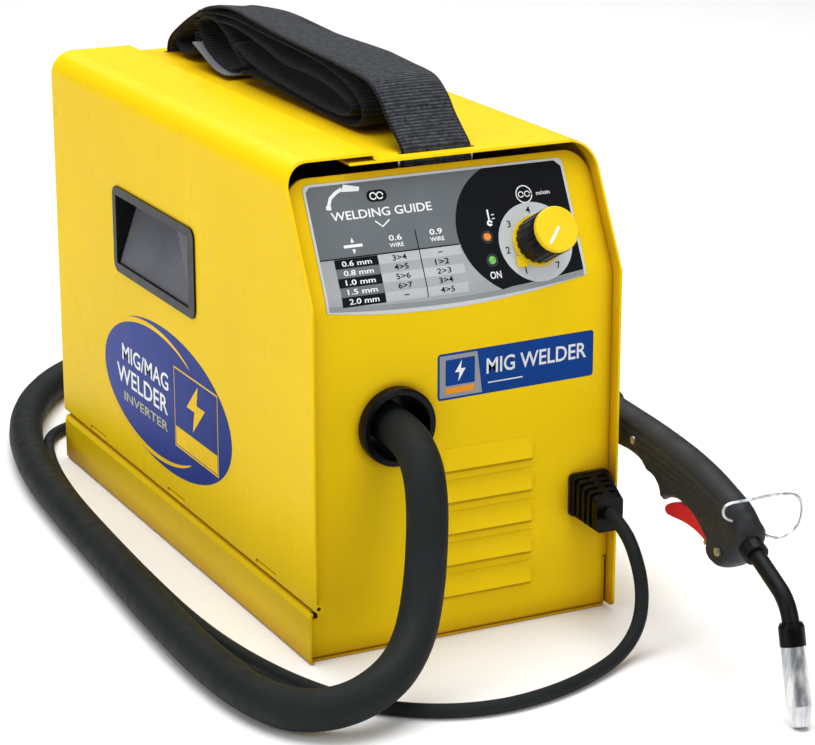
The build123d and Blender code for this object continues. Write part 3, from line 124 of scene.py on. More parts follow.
# -------- materials
RIB_PITCH, YARN_PITCH = 0.0026, 0.0013  # metres, along and across the webbing
BOUND_EDGE = (0.0400, 0.0412)  # where the webbing's dark edge begins and is full, as V


def srgb(code):
    """Linear colour of a web colour such as #E8CB28."""
    parts = [int(code[i:i + 2], 16) / 255 for i in (1, 3, 5)]
    linear = [c / 12.92 if c <= 0.04045 else ((c + 0.055) / 1.055) ** 2.4 for c in parts]
    return (*linear, 1.0)


def shade(colour, factor):
    """A linear colour made darker or lighter."""
    return (*[min(1.0, c * factor) for c in colour[:3]], colour[3])


class Surface:
    """Node graph of one procedural material, with small helpers for what every finish needs."""

    def __init__(self, name):
        self.material = bpy.data.materials.new(name)
        self.material.use_nodes = True
        self.tree = self.material.node_tree
        self.shader = self.tree.nodes["Principled BSDF"]
        self.place = self.node("ShaderNodeTexCoord").outputs["Object"]
        self.bumps = None

    def node(self, kind, **settings):
        """A new node of a kind."""
        made = self.tree.nodes.new(kind)
        for key, value in settings.items():
            setattr(made, key, value)
        return made

    def link(self, source, target):
        """Joins an output to an input."""
        self.tree.links.new(source, target)

    def noise(self, scale, detail=4.0, stretch=None):
        """Noise value from 0 to 1; scale is in features per metre, stretch scales each axis."""
        texture = self.node("ShaderNodeTexNoise")
        texture.inputs["Scale"].default_value = scale
        texture.inputs["Detail"].default_value = detail
        place = self.place
        if stretch:
            mapping = self.node("ShaderNodeMapping")
            mapping.inputs["Scale"].default_value = stretch
            self.link(place, mapping.inputs["Vector"])
            place = mapping.outputs["Vector"]
        self.link(place, texture.inputs["Vector"])
        return texture.outputs["Fac"]

    def spread(self, value, low, high, start=0.35, end=0.65):
        """Maps a value between start and end to low and high."""
        remap = self.node("ShaderNodeMapRange")
        remap.inputs["From Min"].default_value = start
        remap.inputs["From Max"].default_value = end
        remap.inputs["To Min"].default_value = low
        remap.inputs["To Max"].default_value = high
        self.link(value, remap.inputs["Value"])
        return remap.outputs["Result"]

    def mix(self, value, first, second):
        """Colour between two colours or colour outputs."""
        blend = self.node("ShaderNodeMix", data_type="RGBA")
        self.link(value, blend.inputs["Factor"])
        for socket, colour in ((blend.inputs[6], first), (blend.inputs[7], second)):
            if isinstance(colour, tuple):
                socket.default_value = colour
            else:
                self.link(colour, socket)
        return blend.outputs[2]

    def bump(self, height, depth, strength=1.0):
        """Adds a height in metres to the surface."""
        step = self.node("ShaderNodeBump")
        step.inputs["Strength"].default_value = strength
        step.inputs["Distance"].default_value = depth
        self.link(height, step.inputs["Height"])
        if self.bumps:
            self.link(self.bumps, step.inputs["Normal"])
        self.bumps = step.outputs["Normal"]

    def done(self, colour, roughness, metallic=0.0, coat=0.0, sheen=0.0, specular=0.2):
        """Joins colour, roughness and bumps to the shader and gives the material."""
        self.link(colour, self.shader.inputs["Base Color"])
        self.link(roughness, self.shader.inputs["Roughness"])
        self.shader.inputs["Metallic"].default_value = metallic
        self.shader.inputs["Coat Weight"].default_value = coat
        self.shader.inputs["Coat Roughness"].default_value = 0.1
        self.shader.inputs["Sheen Weight"].default_value = sheen
        self.shader.inputs["Specular IOR Level"].default_value = specular
        if self.bumps:
            self.link(self.bumps, self.shader.inputs["Normal"])
        return self.material


def finish(
    name, colour, roughness, metallic=0.0, coat=0.0, grain=1500, depth=0.00003, blotch=18,
    vary=0.08, rough_vary=0.06, stretch=None, sheen=0.0, specular=0.2,
):
    """A finish with blotches of colour, varied roughness and a fine grain."""
    surface = Surface(name)
    base = srgb(colour)
    blotches = surface.noise(blotch, 3.0)
    tint = surface.mix(surface.spread(blotches, 0.0, 1.0), shade(base, 1 - vary), shade(base, 1 + vary))
    rough = surface.spread(surface.noise(blotch * 6, 5.0), roughness - rough_vary, roughness + rough_vary)
    surface.bump(surface.noise(grain, 4.0, stretch), depth)
    return surface.done(tint, rough, metallic, coat, sheen=sheen, specular=specular)


def painted_steel():
    """Yellow powder coat: slight orange peel, fine specks, and painted shade that makes the paint darker and
    browner in the recesses.
    """
    surface = Surface("yellow_paint")
    base = srgb("#F2CC12")
    tint = surface.mix(surface.spread(surface.noise(6, 3.0), 0.0, 1.0), shade(base, 0.96), shade(base, 1.03))
    specks = surface.spread(surface.noise(420, 2.0), 0.0, 0.16, 0.70, 0.80)
    tint = surface.mix(specks, tint, shade(base, 0.86))
    rough = surface.spread(surface.noise(40, 6.0), 0.27, 0.36)
    # painted shade: ambient occlusion turns the yellow darker and browner in recesses, creases and under
    # edges
    recess = surface.node("ShaderNodeAmbientOcclusion", samples=8)
    recess.inputs["Distance"].default_value = 0.022
    tint = surface.mix(surface.spread(recess.outputs["AO"], 0.0, 1.0, 0.42, 0.90), srgb("#B8870E"), tint)
    surface.bump(surface.noise(520, 3.0), 0.00003, 0.4)
    surface.bump(surface.noise(2600, 2.0), 0.00001, 0.4)
    return surface.done(tint, rough, specular=0.03)


def lamps():
    """Indicator lenses: green below, amber above."""
    surface = Surface("lamp_lens")
    split = surface.node("ShaderNodeSeparateXYZ")
    surface.link(surface.place, split.inputs["Vector"])
    middle = (on_panel(0, LAMP_S[0], 0).z + on_panel(0, LAMP_S[1], 0).z) / 2
    upper = surface.spread(split.outputs["Z"], 0.0, 1.0, middle - 0.0005, middle + 0.0005)
    cloud = surface.spread(surface.noise(500), 0.0, 1.0)
    green = surface.mix(cloud, srgb("#4FA63C"), srgb("#86CF62"))
    amber = surface.mix(cloud, srgb("#D9701C"), srgb("#F39A3C"))
    surface.bump(surface.noise(900), 0.00004)
    rough = surface.spread(surface.noise(200), 0.10, 0.2)
    return surface.done(surface.mix(upper, green, amber), rough, coat=0.6)


def webbing(name="strap_webbing", body="#212328", ribs="#4E5158"):
    """Black webbing with fine cross ribs and dark edges; U runs along it, V from its middle to its edges."""
    surface = Surface(name)
    split = surface.node("ShaderNodeSeparateXYZ")
    surface.link(surface.node("ShaderNodeTexCoord").outputs["UV"], split.inputs["Vector"])
    along, across = split.outputs["X"], split.outputs["Y"]

    def wave(value, pitch):
        """Value from 0 to 1 that repeats every pitch."""
        turn = surface.node("ShaderNodeMath", operation="MULTIPLY")
        surface.link(value, turn.inputs[0])
        turn.inputs[1].default_value = 2 * pi / pitch
        swing = surface.node("ShaderNodeMath", operation="SINE")
        surface.link(turn.outputs[0], swing.inputs[0])
        return surface.spread(swing.outputs[0], 0.0, 1.0, -1.0, 1.0)

    rib = wave(along, RIB_PITCH)
    yarn = wave(across, YARN_PITCH)
    woven = surface.node("ShaderNodeMath", operation="MULTIPLY")
    surface.link(rib, woven.inputs[0])
    surface.link(yarn, woven.inputs[1])
    edge = surface.spread(across, 0.0, 1.0, *BOUND_EDGE)
    light = surface.mix(surface.spread(surface.noise(300, 4.0), 0.0, 1.0), srgb(ribs), srgb(body))
    tint = surface.mix(rib, srgb(body), light)
    tint = surface.mix(edge, tint, srgb("#0C0E13"))
    rough = surface.spread(surface.noise(500), 0.78, 0.95)
    surface.bump(rib, 0.0006, 0.7)
    surface.bump(woven.outputs[0], 0.0002, 0.6)
    return surface.done(tint, rough, sheen=0.08, specular=0.15)


def metal(name, colour, roughness, brush):
    """Metal with a directional brush grain and slightly uneven gloss."""
    return finish(
        name, colour, roughness, metallic=1.0, grain=900, depth=0.00002, blotch=60,
        vary=0.05, rough_vary=0.05, stretch=brush,
    )


def streaked_chrome():
    """Chrome with long pale and dark bands down the nozzle, which are painted reflections, and a few darker
    smudges.
    """
    surface = Surface("bright_chrome")
    # painted reflections: pale and dark bands that run down the nozzle
    reflection_streaks = surface.spread(surface.noise(230, 2.0, (1.0, 1.0, 0.06)), 0.0, 1.0, 0.36, 0.62)
    smudge = surface.spread(surface.noise(60, 4.0), 0.0, 0.35)
    tint = surface.mix(reflection_streaks, srgb("#A6A9AD"), srgb("#EDEFF1"))
    tint = surface.mix(smudge, tint, srgb("#9B9EA2"))
    surface.bump(surface.noise(700, 3.0, (1.0, 1.0, 0.05)), 0.00003)
    return surface.done(tint, surface.spread(surface.noise(90), 0.26, 0.40), metallic=1.0)


FINISHES = {
    "yellow_paint": painted_steel(),
    "zinc_steel": metal("zinc_steel", "#B9BDC0", 0.36, (1.0, 0.1, 1.0)),
    "bright_chrome": streaked_chrome(),
    "black_plastic": finish("black_plastic", "#26282B", 0.48, grain=1400, depth=0.00006, vary=0.10),
    "grey_plastic": finish("grey_plastic", "#8D9194", 0.45, grain=1400, depth=0.00004),
    "black_coating": finish(
        "black_coating", "#101214", 0.40, grain=900, depth=0.00004, vary=0.12, specular=0.12,
    ),
    "label_film": finish("label_film", "#C9CED2", 0.34, grain=2400, depth=0.00001, vary=0.03, coat=0.2),
    "dial_yellow": finish("dial_yellow", "#F3CE14", 0.36, grain=1800, depth=0.00003, vary=0.04, coat=0.2),
    "lamp_lens": lamps(),
    "trigger_red": finish("trigger_red", "#D4202C", 0.42, grain=1500, depth=0.00005, vary=0.08, coat=0.15),
    "brass_parts": metal("brass_parts", "#C8A24A", 0.30, (1.0, 0.2, 1.0)),
    "copper_wire": metal("copper_wire", "#B8683C", 0.34, (0.1, 1.0, 1.0)),
    "winding": finish("winding", "#8A4A22", 0.40, grain=700, depth=0.0002, stretch=(0.1, 1.0, 1.0), coat=0.4),
    "core_iron": finish(
        "core_iron", "#565659", 0.52, metallic=0.7, grain=1500, depth=0.0001, stretch=(0.1, 1, 1),
    ),
    "sink_aluminium": metal("sink_aluminium", "#A9ADB0", 0.42, (1.0, 0.1, 1.0)),
    "board": finish("board", "#1F5A38", 0.40, grain=600, depth=0.0001, vary=0.20, blotch=90, coat=0.3),
    "hose_rubber": finish(
        "hose_rubber", "#1E2222", 0.62, grain=1100, depth=0.00005, vary=0.12, specular=0.12,
    ),
    "strap_webbing": webbing(),
}
GLOSS_BLACK = finish("gloss_black", "#0A0B0D", 0.24, grain=900, depth=0.00004, vary=0.2, specular=0.12)
SCOOP_GREY = finish("scoop_grey", "#62646B", 0.5, grain=1400, depth=0.00006, vary=0.10, specular=0.15)
GRIP_BLACK = finish("grip_black", "#25272A", 0.52, grain=1700, depth=0.00007, vary=0.10, rough_vary=0.08)


def dress_nodes():
    """Gives every CAD node the finish of its material slot, and a closer one where that differs."""
    closer = {
        "mains_gland": GLOSS_BLACK,
        "hose_collar": GLOSS_BLACK,
        "nozzle_insulator": GLOSS_BLACK,
        "dial_knob": GLOSS_BLACK,
        "grip_pocket": GLOSS_BLACK,
        "hose_boot": GRIP_BLACK,
        "handle_screws": FINISHES["bright_chrome"],
    }
    for name, obj in NODES.items():
        slot = obj.data.materials[0].name.split(".")[0]
        chosen = closer.get(name, FINISHES[slot])
        obj.data.materials.clear()
        obj.data.materials.append(chosen)


dress_nodes()


# -------- free hose and mains lead
def nurbs(name, route, radius, material):
    """A round cord whose centreline is one smooth spline with the route's points, in mm, as controls."""
    data = bpy.data.curves.new(name, "CURVE")
    data.dimensions = "3D"
    spline = data.splines.new("NURBS")
    spline.points.add(len(route) - 1)
    for point, place in zip(spline.points, route):
        point.co = (*[c * MM for c in place], 1.0)
    spline.order_u = 3
    spline.use_endpoint_u = True
    data.resolution_u = 10
    data.bevel_depth = radius * MM
    data.bevel_resolution = 7
    data.use_fill_caps = True
    data.materials.append(material)
    return linked(name, data)


HOSE_R, CORD_R = 12.5, 4.3
HOSE_ROUTE = [
    (-47.5, -200, 143.4), (-47.5, -232, 143.4), (-49.5, -256, 133), (-52, -268, 113),
    (-56, -275, 86), (-63, -284, 61), (-76, -298, 40), (-99, -316, 28), (-130, -322, 19),
    (-156, -303, 13.5), (-168, -262, 12.5), (-171, -200, 12.5), (-168, -115, 12.5),
    (-162, -25, 12.5), (-157, 70, 12.5), (-149, 160, 12.5), (-132, 240, 12.5), (-102, 314, 12.5),
    (-56, 374, 12.5), (4, 408, 12.5), (70, 412, 12.5), (126, 378, 12.5), (158, 320, 12.5),
    (170, 246, 12.5), (168, 168, 13), (160, 96, 18), (152, 34, 37), (145, -24, 67),
    (138.4, -72, 97), (133.2, -112, 114.5), (128.96, -165, 114.5),
]
COIL_X, COIL_Y, COIL_Z = 14.0, 318.0, 5.0
COIL_OUTER, COIL_PITCH, COIL_TURNS, TURN_STEPS = 62.0, 8.8, 3, 12
LEAD_ROUTE = [
    (89, -241, 74), (88.6, -259, 70), (88.4, -274, 57), (88, -284, 38), (82, -291, 19),
    (66, -299, 6.5), (38, -314, 4.3), (4, -327, 4.3), (-34, -332, 4.3), (-70, -323, 4.3),
    (-101, -300, 4.3), (-123, -263, 4.3), (-139, -208, 4.3), (-147, -140, 4.3), (-146, -50, 4.3),
    (-142, 40, 4.3), (-137, 120, 4.3), (-128, 185, 4.3), (-115.5, 236, 4.3), (-101, 264, 4.3),
    (-76, 277, 4.3), (-46, 273, 4.4), (-16, 260, 4.7),
]
PLUG_ROUTE = [
    (29, 281.6, 14.2), (44, 278.0, 14.8), (58, 272.8, 16.4), (71, 267.7, 18.3), (84, 262.5, 18.3),
]
COIL_RISE = {34: 8.0, 35: 11.5, 36: 13.7}  # the coil's last steps lift over its turns


def coil_route():
    """The flat spiral from its outer turn inwards."""
    route = []
    for step in range(COIL_TURNS * TURN_STEPS + 1):
        turn = step / TURN_STEPS
        radius = COIL_OUTER - COIL_PITCH * turn
        angle = 2 * pi * turn - pi / 2
        height = COIL_RISE.get(step, COIL_Z)
        route.append((COIL_X + radius * cos(angle), COIL_Y + radius * sin(angle), height))
    return route


def make_cords():
    """Torch hose to the handle, and the mains lead with its coil and plug."""
    hose = nurbs("hose_sleeve", HOSE_ROUTE, HOSE_R, FINISHES["hose_rubber"])
    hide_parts("torch_hose")
    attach(hose, "chassis")
    lead = nurbs("mains_flex", LEAD_ROUTE + coil_route() + PLUG_ROUTE, CORD_R, FINISHES["hose_rubber"])
    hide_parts("mains_lead", "lead_coil", "plug_lead")
    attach(lead, "chassis")


make_cords()


# -------- mesh helpers
def settle(name, data, body):
    """Adds a mesh as an object that rides on a body."""
    obj = linked(name, data)
    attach(obj, body)
    return obj


def piece(name, verts, faces, material, body, smooth=False):
    """A mesh object from its points, in metres, and its faces."""
    mesh = bpy.data.meshes.new(name)
    mesh.from_pydata([tuple(v) for v in verts], [], faces)
    mesh.materials.append(material)
    mesh.polygons.foreach_set("use_smooth", [smooth] * len(mesh.polygons))
    mesh.update()
    return settle(name, mesh, body)


def clamp(value):
    """Value kept between 0 and 1."""
    return max(0.0, min(1.0, value))


def arc(centre, radius, start, end, steps=24, squeeze=1.0):
    """Points of an arc, angles in degrees; squeeze flattens it into part of an ellipse."""
    points = []
    for i in range(steps + 1):
        angle = radians(start + (end - start) * i / steps)
        points.append((centre[0] + radius * cos(angle), centre[1] + radius * squeeze * sin(angle)))
    return points


def rounded(left, low, right, high, radius):
    """Outline of a rectangle with rounded corners."""
    points = []
    corners = ((right, low, -90), (right, high, 0), (left, high, 90), (left, low, 180))
    for x, y, start in corners:
        centre = (x - radius if x == right else x + radius, y - radius if y == high else y + radius)
        points += arc(centre, radius, start, start + 90, 6)
    return points


def stripe(points, width, closed=False):
    """Four-sided cells of a line of some width that follows the points; closed makes it a ring."""
    count = len(points)
    edges = []
    for i, (x, y) in enumerate(points):
        before = points[(i - 1) % count] if closed or i else points[i]
        after = points[(i + 1) % count] if closed or i < count - 1 else points[i]
        run = Vector((after[0] - before[0], after[1] - before[1])).normalized()
        side = Vector((-run.y, run.x)) * width / 2
        edges.append(((x + side.x, y + side.y), (x - side.x, y - side.y)))
    following = edges[1:] + (edges[:1] if closed else [])
    return [[a[1], b[1], b[0], a[0]] for a, b in zip(edges, following)]


BOLDNESS = 0.014  # how far a letter's outline is pushed out, in font sizes
BEND_LOW = -9  # where the print's cuts along the bend begin, as s


def word(text, centre, height, width=None):
    """Outline cells of a word, fitted to a height and a width about its centre."""
    data = bpy.data.curves.new(text, "FONT")
    data.body = text
    data.resolution_u = 3
    data.offset = BOLDNESS
    holder = bpy.data.objects.new(text, data)
    mesh = bpy.data.meshes.new_from_object(holder)
    points = [v.co for v in mesh.vertices]
    low = [min(p[k] for p in points) for k in (0, 1)]
    high = [max(p[k] for p in points) for k in (0, 1)]
    tall = height / (high[1] - low[1])
    wide = width / (high[0] - low[0]) if width else tall
    middle = [(low[k] + high[k]) / 2 for k in (0, 1)]

    def fit(p):
        return centre[0] + (p[0] - middle[0]) * wide, centre[1] + (p[1] - middle[1]) * tall

    cells = [[fit(points[i]) for i in face.vertices] for face in mesh.polygons]
    bpy.data.objects.remove(holder)
    bpy.data.curves.remove(data)
    bpy.data.meshes.remove(mesh)
    return cells


def printed(name, cells, place, lift, material, body):
    """Ink shapes: flat cells laid on a surface, cut finely enough to follow the panel's bend."""
    mesh = bmesh.new()
    for cell in cells:
        corners = [mesh.verts.new((u, v, 0)) for u, v in cell]
        mesh.faces.new(corners)
    if place is on_panel:
        for s in range(BEND_LOW, int(BEND_START) + 2):
            mesh_parts = mesh.verts[:] + mesh.edges[:] + mesh.faces[:]
            bmesh.ops.bisect_plane(mesh, geom=mesh_parts, plane_co=(0, s, 0), plane_no=(0, 1, 0))
    bmesh.ops.triangulate(mesh, faces=mesh.faces)
    bmesh.ops.remove_doubles(mesh, verts=mesh.verts, dist=0.0005)
    for vert in mesh.verts:
        vert.co = place(vert.co.x, vert.co.y, lift)
    mesh.normal_update()
    data = bpy.data.meshes.new(name)
    mesh.to_mesh(data)
    mesh.free()
    data.materials.append(material)
    settle(name, data, body)


def ink(name, colour, roughness=0.34):
    """Printing ink: smooth, almost even and dull."""
    return finish(name, colour, roughness, grain=2400, depth=0.000008, blotch=30, vary=0.04, specular=0.03)


WHITE_INK = ink("white_ink", "#EEF1F2")
BLACK_INK = ink("black_ink", "#17191C", 0.30)
DARK_GREY_INK = ink("dark_grey_ink", "#6A7074")
LIGHT_GREY_INK = ink("light_grey_ink", "#A3A7AB")
BAND_GREY_INK = ink("band_grey_ink", "#8F9599")
BLUE_INK = ink("blue_ink", "#16408A")
YELLOW_INK = ink("yellow_ink", "#EFC61A")
ORANGE_INK = ink("orange_ink", "#F0962A")
SILVER_INK = ink("silver_ink", "#C4C9CD")
BADGE_GREY_INK = ink("badge_grey_ink", "#94979C")


# -------- control label
LABEL_L, LABEL_R, LABEL_T = -89.4, 83.2, 73.4  # inside the silver border
INK_LIFT, INK_STEP = 0.04, 0.05  # first ink layer's height above the film, and the step to the next
FIELD_FOOT, FIELD_RIGHT = 28.5, 42.0  # the grey field's foot, and the table ground's right end
NAMES_L, NAMES_X, NAMES_R, TABLE_R = -80.5, -66.2, -52.0, 3.2  # column of thicknesses, table's right edge
ROW_TOP, ROW_H, ROWS = 28.0, 5.75, 5
THICKNESSES = ("0.6 mm", "0.8 mm", "1.0 mm", "1.5 mm", "2.0 mm")
SETTINGS = (("3>4", "-"), ("4>5", "1>2"), ("5>6", "2>3"), ("6>7", "3>4"), ("-", "4>5"))
SPLIT_X, COLUMN_1, COLUMN_2 = -24.2, -38.0, -10.7
BLACK_X, BLACK_S, BLACK_R = 44.6, 35.0, 41.5  # arc that bounds the black field
SCALE_R, MARK_R, FIRST_MARK, MARK_STEP, MARKS = 25.0, 20.2, 238.0, 48.7, 7
FOOT_X = [LABEL_L + (LABEL_R - LABEL_L) * i / 24 for i in range(25)]


def label_foot(x):
    """Height of the printed area's bowed lower edge."""
    return -2.6 + 0.00065 * (x + 12) ** 2


def ink_layer(name, cells, layer, material):
    """Print on the sloping panel; a higher layer lies over a lower one."""
    printed(name, cells, on_panel, INK_LIFT + INK_STEP * layer, material, "chassis")


def label_grounds():
    """Grey field, table ground, band along the foot and the black field of the dial."""
    corner = [(LABEL_L, FIELD_FOOT), (40, FIELD_FOOT), (40, LABEL_T)]
    corner += [(LABEL_L + 3, LABEL_T), (LABEL_L, LABEL_T - 3)]
    ink_layer("label_grey_field", [corner], 0, DARK_GREY_INK)
    table = [(x, label_foot(x)) for x in FOOT_X if x < FIELD_RIGHT]
    table += [(FIELD_RIGHT, FIELD_FOOT), (LABEL_L, FIELD_FOOT)]
    ink_layer("label_table_field", [table], 0, LIGHT_GREY_INK)
    band = [(x, label_foot(x) - 0.2) for x in FOOT_X] + [(x, label_foot(x) - 3.6) for x in FOOT_X[::-1]]
    ink_layer("label_lower_band", [band], 0, BAND_GREY_INK)
    foot = [(x, label_foot(x)) for x in FOOT_X if x > 28]
    black_side = arc((BLACK_X, BLACK_S), BLACK_R, 112, 244, 40)
    black = foot + [(LABEL_R, LABEL_T - 4), (LABEL_R - 4, LABEL_T)] + black_side
    ink_layer("label_black_field", [black], 1, BLACK_INK)


def setting_table():
    """Rows of sheet thicknesses, each with its dial setting for two wires."""
    rows = [ROW_TOP - ROW_H * k for k in range(ROWS + 1)]
    black_rows, grey_rows, bands = [], [], []
    for k, (top, low) in enumerate(zip(rows, rows[1:])):
        name_cell = [(NAMES_L, low), (NAMES_R, low), (NAMES_R, top), (NAMES_L, top)]
        (grey_rows if k % 2 else black_rows).append(name_cell)
        if k % 2 == 0:
            bands.append([(NAMES_R, low), (TABLE_R, low), (TABLE_R, top), (NAMES_R, top)])
    ink_layer("label_row_names_black", black_rows, 1, BLACK_INK)
    ink_layer("label_row_names_grey", grey_rows, 1, DARK_GREY_INK)
    ink_layer("label_row_bands", bands, 1, ink("pale_grey_ink", "#B7BBBE"))
    lines = stripe([(LABEL_L, FIELD_FOOT), (3.0, FIELD_FOOT)], 0.7)
    lines += stripe([(SPLIT_X, -1.0), (SPLIT_X, 40.5)], 0.6)
    ink_layer("label_table_lines", lines, 2, BLACK_INK)

    names, numbers = [], []
    for (top, low), thickness, (first, second) in zip(zip(rows, rows[1:]), THICKNESSES, SETTINGS):
        middle = (top + low) / 2
        names += word(thickness, (NAMES_X, middle), 3.3, 19.5)
        for text, x in ((first, COLUMN_1), (second, COLUMN_2)):
            if text == "-":
                numbers += stripe([(x - 1.7, middle), (x + 1.7, middle)], 0.6)
            else:
                numbers += word(text, (x, middle), 3.5, 9.5)
    ink_layer("label_row_words", names, 2, WHITE_INK)
    ink_layer("label_numbers", numbers, 2, BLACK_INK)


def label_titles():
    """Title, column heads and the signs beside them."""
    heads = word("0.6", (COLUMN_1, 37.4), 3.6, 8.5) + word("0.9", (COLUMN_2, 38.0), 3.6, 8.5)
    heads += word("WIRE", (COLUMN_1, 32.9), 2.6, 9.5) + word("WIRE", (COLUMN_2, 33.4), 2.6, 9.5)
    heads += word("WELDING GUIDE", (-43.1, 54.0), 5.4, 66.5)
    heads += stripe([(-48.7, 48.8), (-44.4, 44.9), (-39.3, 48.6)], 0.9)
    # sheet thickness sign: a plate between two arrows
    heads += stripe([(-72.4, 35.3), (-60.1, 35.3)], 1.8)
    heads += [[(-66.2, 40.6), (-65.1, 37.4), (-67.4, 37.4)]]
    heads += [[(-67.4, 33.2), (-65.1, 33.2), (-66.2, 30.2)]]
    ink_layer("label_titles", heads, 1, WHITE_INK)

    # torch sign: a nozzle, a bent neck and a tapered handle
    torch = stripe([(-77.0, 58.4), (-76.4, 61.0)], 3.2)
    torch += stripe([(-76.4, 61.0), (-74.4, 65.4), (-70.4, 68.4), (-66.0, 70.4)], 2.1)
    torch += [[(-66.6, 68.6), (-55.2, 68.0), (-54.2, 70.6), (-64.4, 73.0)]]
    ink_layer("label_torch_sign", torch, 1, WHITE_INK)

    roller = rounded(-51.0, 60.4, -37.6, 67.6, 3.5)
    ink_layer("label_roller_ground", [roller], 1, BLACK_INK)
    rings = []
    for x in (-46.6, -42.2):
        rings += stripe(arc((x, 64.0), 2.0, 0, 330, 22), 0.8)
    ink_layer("label_roller_sign", rings, 2, WHITE_INK)


def dial_scale():
    """Silver disc behind the dial, with its numbers."""
    disc = arc((DIAL_X, DIAL_S), SCALE_R, 0, 354, 60)
    ink_layer("dial_scale_ground", [disc], 2, SILVER_INK)
    scale = []
    for k in range(MARKS):
        angle = radians(FIRST_MARK - MARK_STEP * k)
        spot = (DIAL_X + MARK_R * cos(angle), DIAL_S + MARK_R * sin(angle))
        scale += word(str(k + 1), spot, 4.4)
    ink_layer("dial_scale_numbers", scale, 3, BLACK_INK)


def dial_signs():
    """Signs for heat and wire speed, the word at the lower lamp, and the lamps' bezels."""
    signs = word("ON", (22.9, 6.8), 4.6, 7.6)
    signs += stripe(arc((26.4, 39.0), 1.3, 0, 330, 16), 1.3) + stripe([(26.4, 40.0), (26.4, 47.5)], 1.1)
    signs += stripe([(28.4, 41.6), (30.4, 41.6)], 0.6) + stripe([(28.4, 44.0), (30.4, 44.0)], 0.6)
    signs += stripe(arc((53.7, 54.4), 5.3, 0, 352, 40), 0.7)
    for x in (51.6, 55.9):
        signs += stripe(arc((x, 54.4), 1.7, 0, 340, 18), 0.6)
    signs += word("m/min", (66.9, 54.2), 2.6, 9.4)
    ink_layer("label_dial_signs", signs, 2, WHITE_INK)
    bezels = [cell for s in LAMP_S for cell in stripe(arc((LAMP_X, s), 3.5, 0, 355, 32), 1.2)]
    ink_layer("lamp_bezels", bezels, 2, ink("bezel_ink", "#3A3D40"))


label_grounds()
setting_table()
label_titles()
dial_scale()
dial_signs()


# -------- badges
DECAL_LIFT, DECAL_STEP = 0.10, 0.06
BADGE_X, BADGE_RISE = 36.0, 0.018  # it rises to the right about BADGE_X
EMBLEM_U, EMBLEM_Z, EMBLEM_WIDE, EMBLEM_TALL = -17.0, 102.8, 115.8, 49.6  # half sizes of the oval
RING_U, RING_Z, RING_WIDE, RING_TALL = -36.0, 102.3, 96.0, 45.0
RING_START, RING_SWEEP, RING_WIDTH = 47.0, 266.0, 4.2
SPARK = ((0.15, 1.0), (-0.55, -0.12), (-0.08, -0.12), (-0.2, -1.0), (0.55, 0.2), (0.06, 0.2))


def front_badge():
    """Badge on the front panel: a silver corner with a spark sign and a blue field with plain words."""

    def layer(name, cells, level, material):
        printed(name, cells, on_front, DECAL_LIFT + DECAL_STEP * level, material, "chassis")

    def slant(points):
        """The badge rises a little to the right."""
        return [(x, z + (x - BADGE_X) * BADGE_RISE) for x, z in points]

    layer("badge_blue_field", [slant(rounded(-18.0, 155.2, 90.5, 184.6, 2.2))], 0, BLUE_INK)
    silver = [(-16.6, 156.6), (12.5, 156.6), (9.0, 183.2), (-16.6, 183.2)]
    layer("badge_silver_field", [slant(silver)], 1, BADGE_GREY_INK)
    layer("badge_blue_square", [slant(rounded(-12.6, 164.0, 7.4, 180.4, 0.8))], 2, BLUE_INK)
    orange = [(-12.6, 159.0), (6.8, 159.0), (7.2, 162.6), (-12.6, 162.6)]
    layer("badge_orange_band", [slant(orange)], 2, ORANGE_INK)
    layer("badge_spark", [spark(-2.6, 172.0, 6.6)], 3, WHITE_INK)
    words = [slant(cell) for cell in word("MIG WELDER", (50.4, 172.6), 10.0, 70.0)]
    words += [slant(cell) for cell in stripe([(16.5, 162.0), (40.5, 162.0)], 0.8)]
    layer("badge_words", words, 3, ink("silver_words", "#DDE2E6"))


def spark(x, y, size):
    """A plain lightning stroke."""
    return [(x + size * a, y + size * b) for a, b in SPARK]


def emblem_blue():
    """Blue ink with a painted reflection that pales it towards the rear."""
    surface = Surface("emblem_blue")
    split = surface.node("ShaderNodeSeparateXYZ")
    surface.link(surface.place, split.inputs["Vector"])
    # painted reflection: the blue turns paler towards the rear of the door
    painted_reflection = surface.spread(split.outputs["Y"], 0.0, 1.0, -0.10, 0.13)
    mottle = surface.mix(surface.spread(surface.noise(30), 0.0, 1.0), srgb("#142C76"), srgb("#183280"))
    tint = surface.mix(painted_reflection, mottle, srgb("#3C4A97"))
    surface.bump(surface.noise(2400), 0.000008)
    return surface.done(tint, surface.spread(surface.noise(60), 0.28, 0.36), specular=0.03)


def emblem_ring():
    """Open oval ring that tapers to a point at both ends."""
    steps = 90
    outer, inner = [], []
    for i in range(steps + 1):
        angle = radians(RING_START + RING_SWEEP * i / steps)
        width = RING_WIDTH * sin(pi * i / steps) ** 0.45 + 0.15
        for edge, side in ((outer, 0.5), (inner, -0.5)):
            wide, tall = RING_WIDE + side * width, RING_TALL + side * width
            edge.append((RING_U + wide * cos(angle), RING_Z + tall * sin(angle)))
    return [[outer[i], outer[i + 1], inner[i + 1], inner[i]] for i in range(steps)]


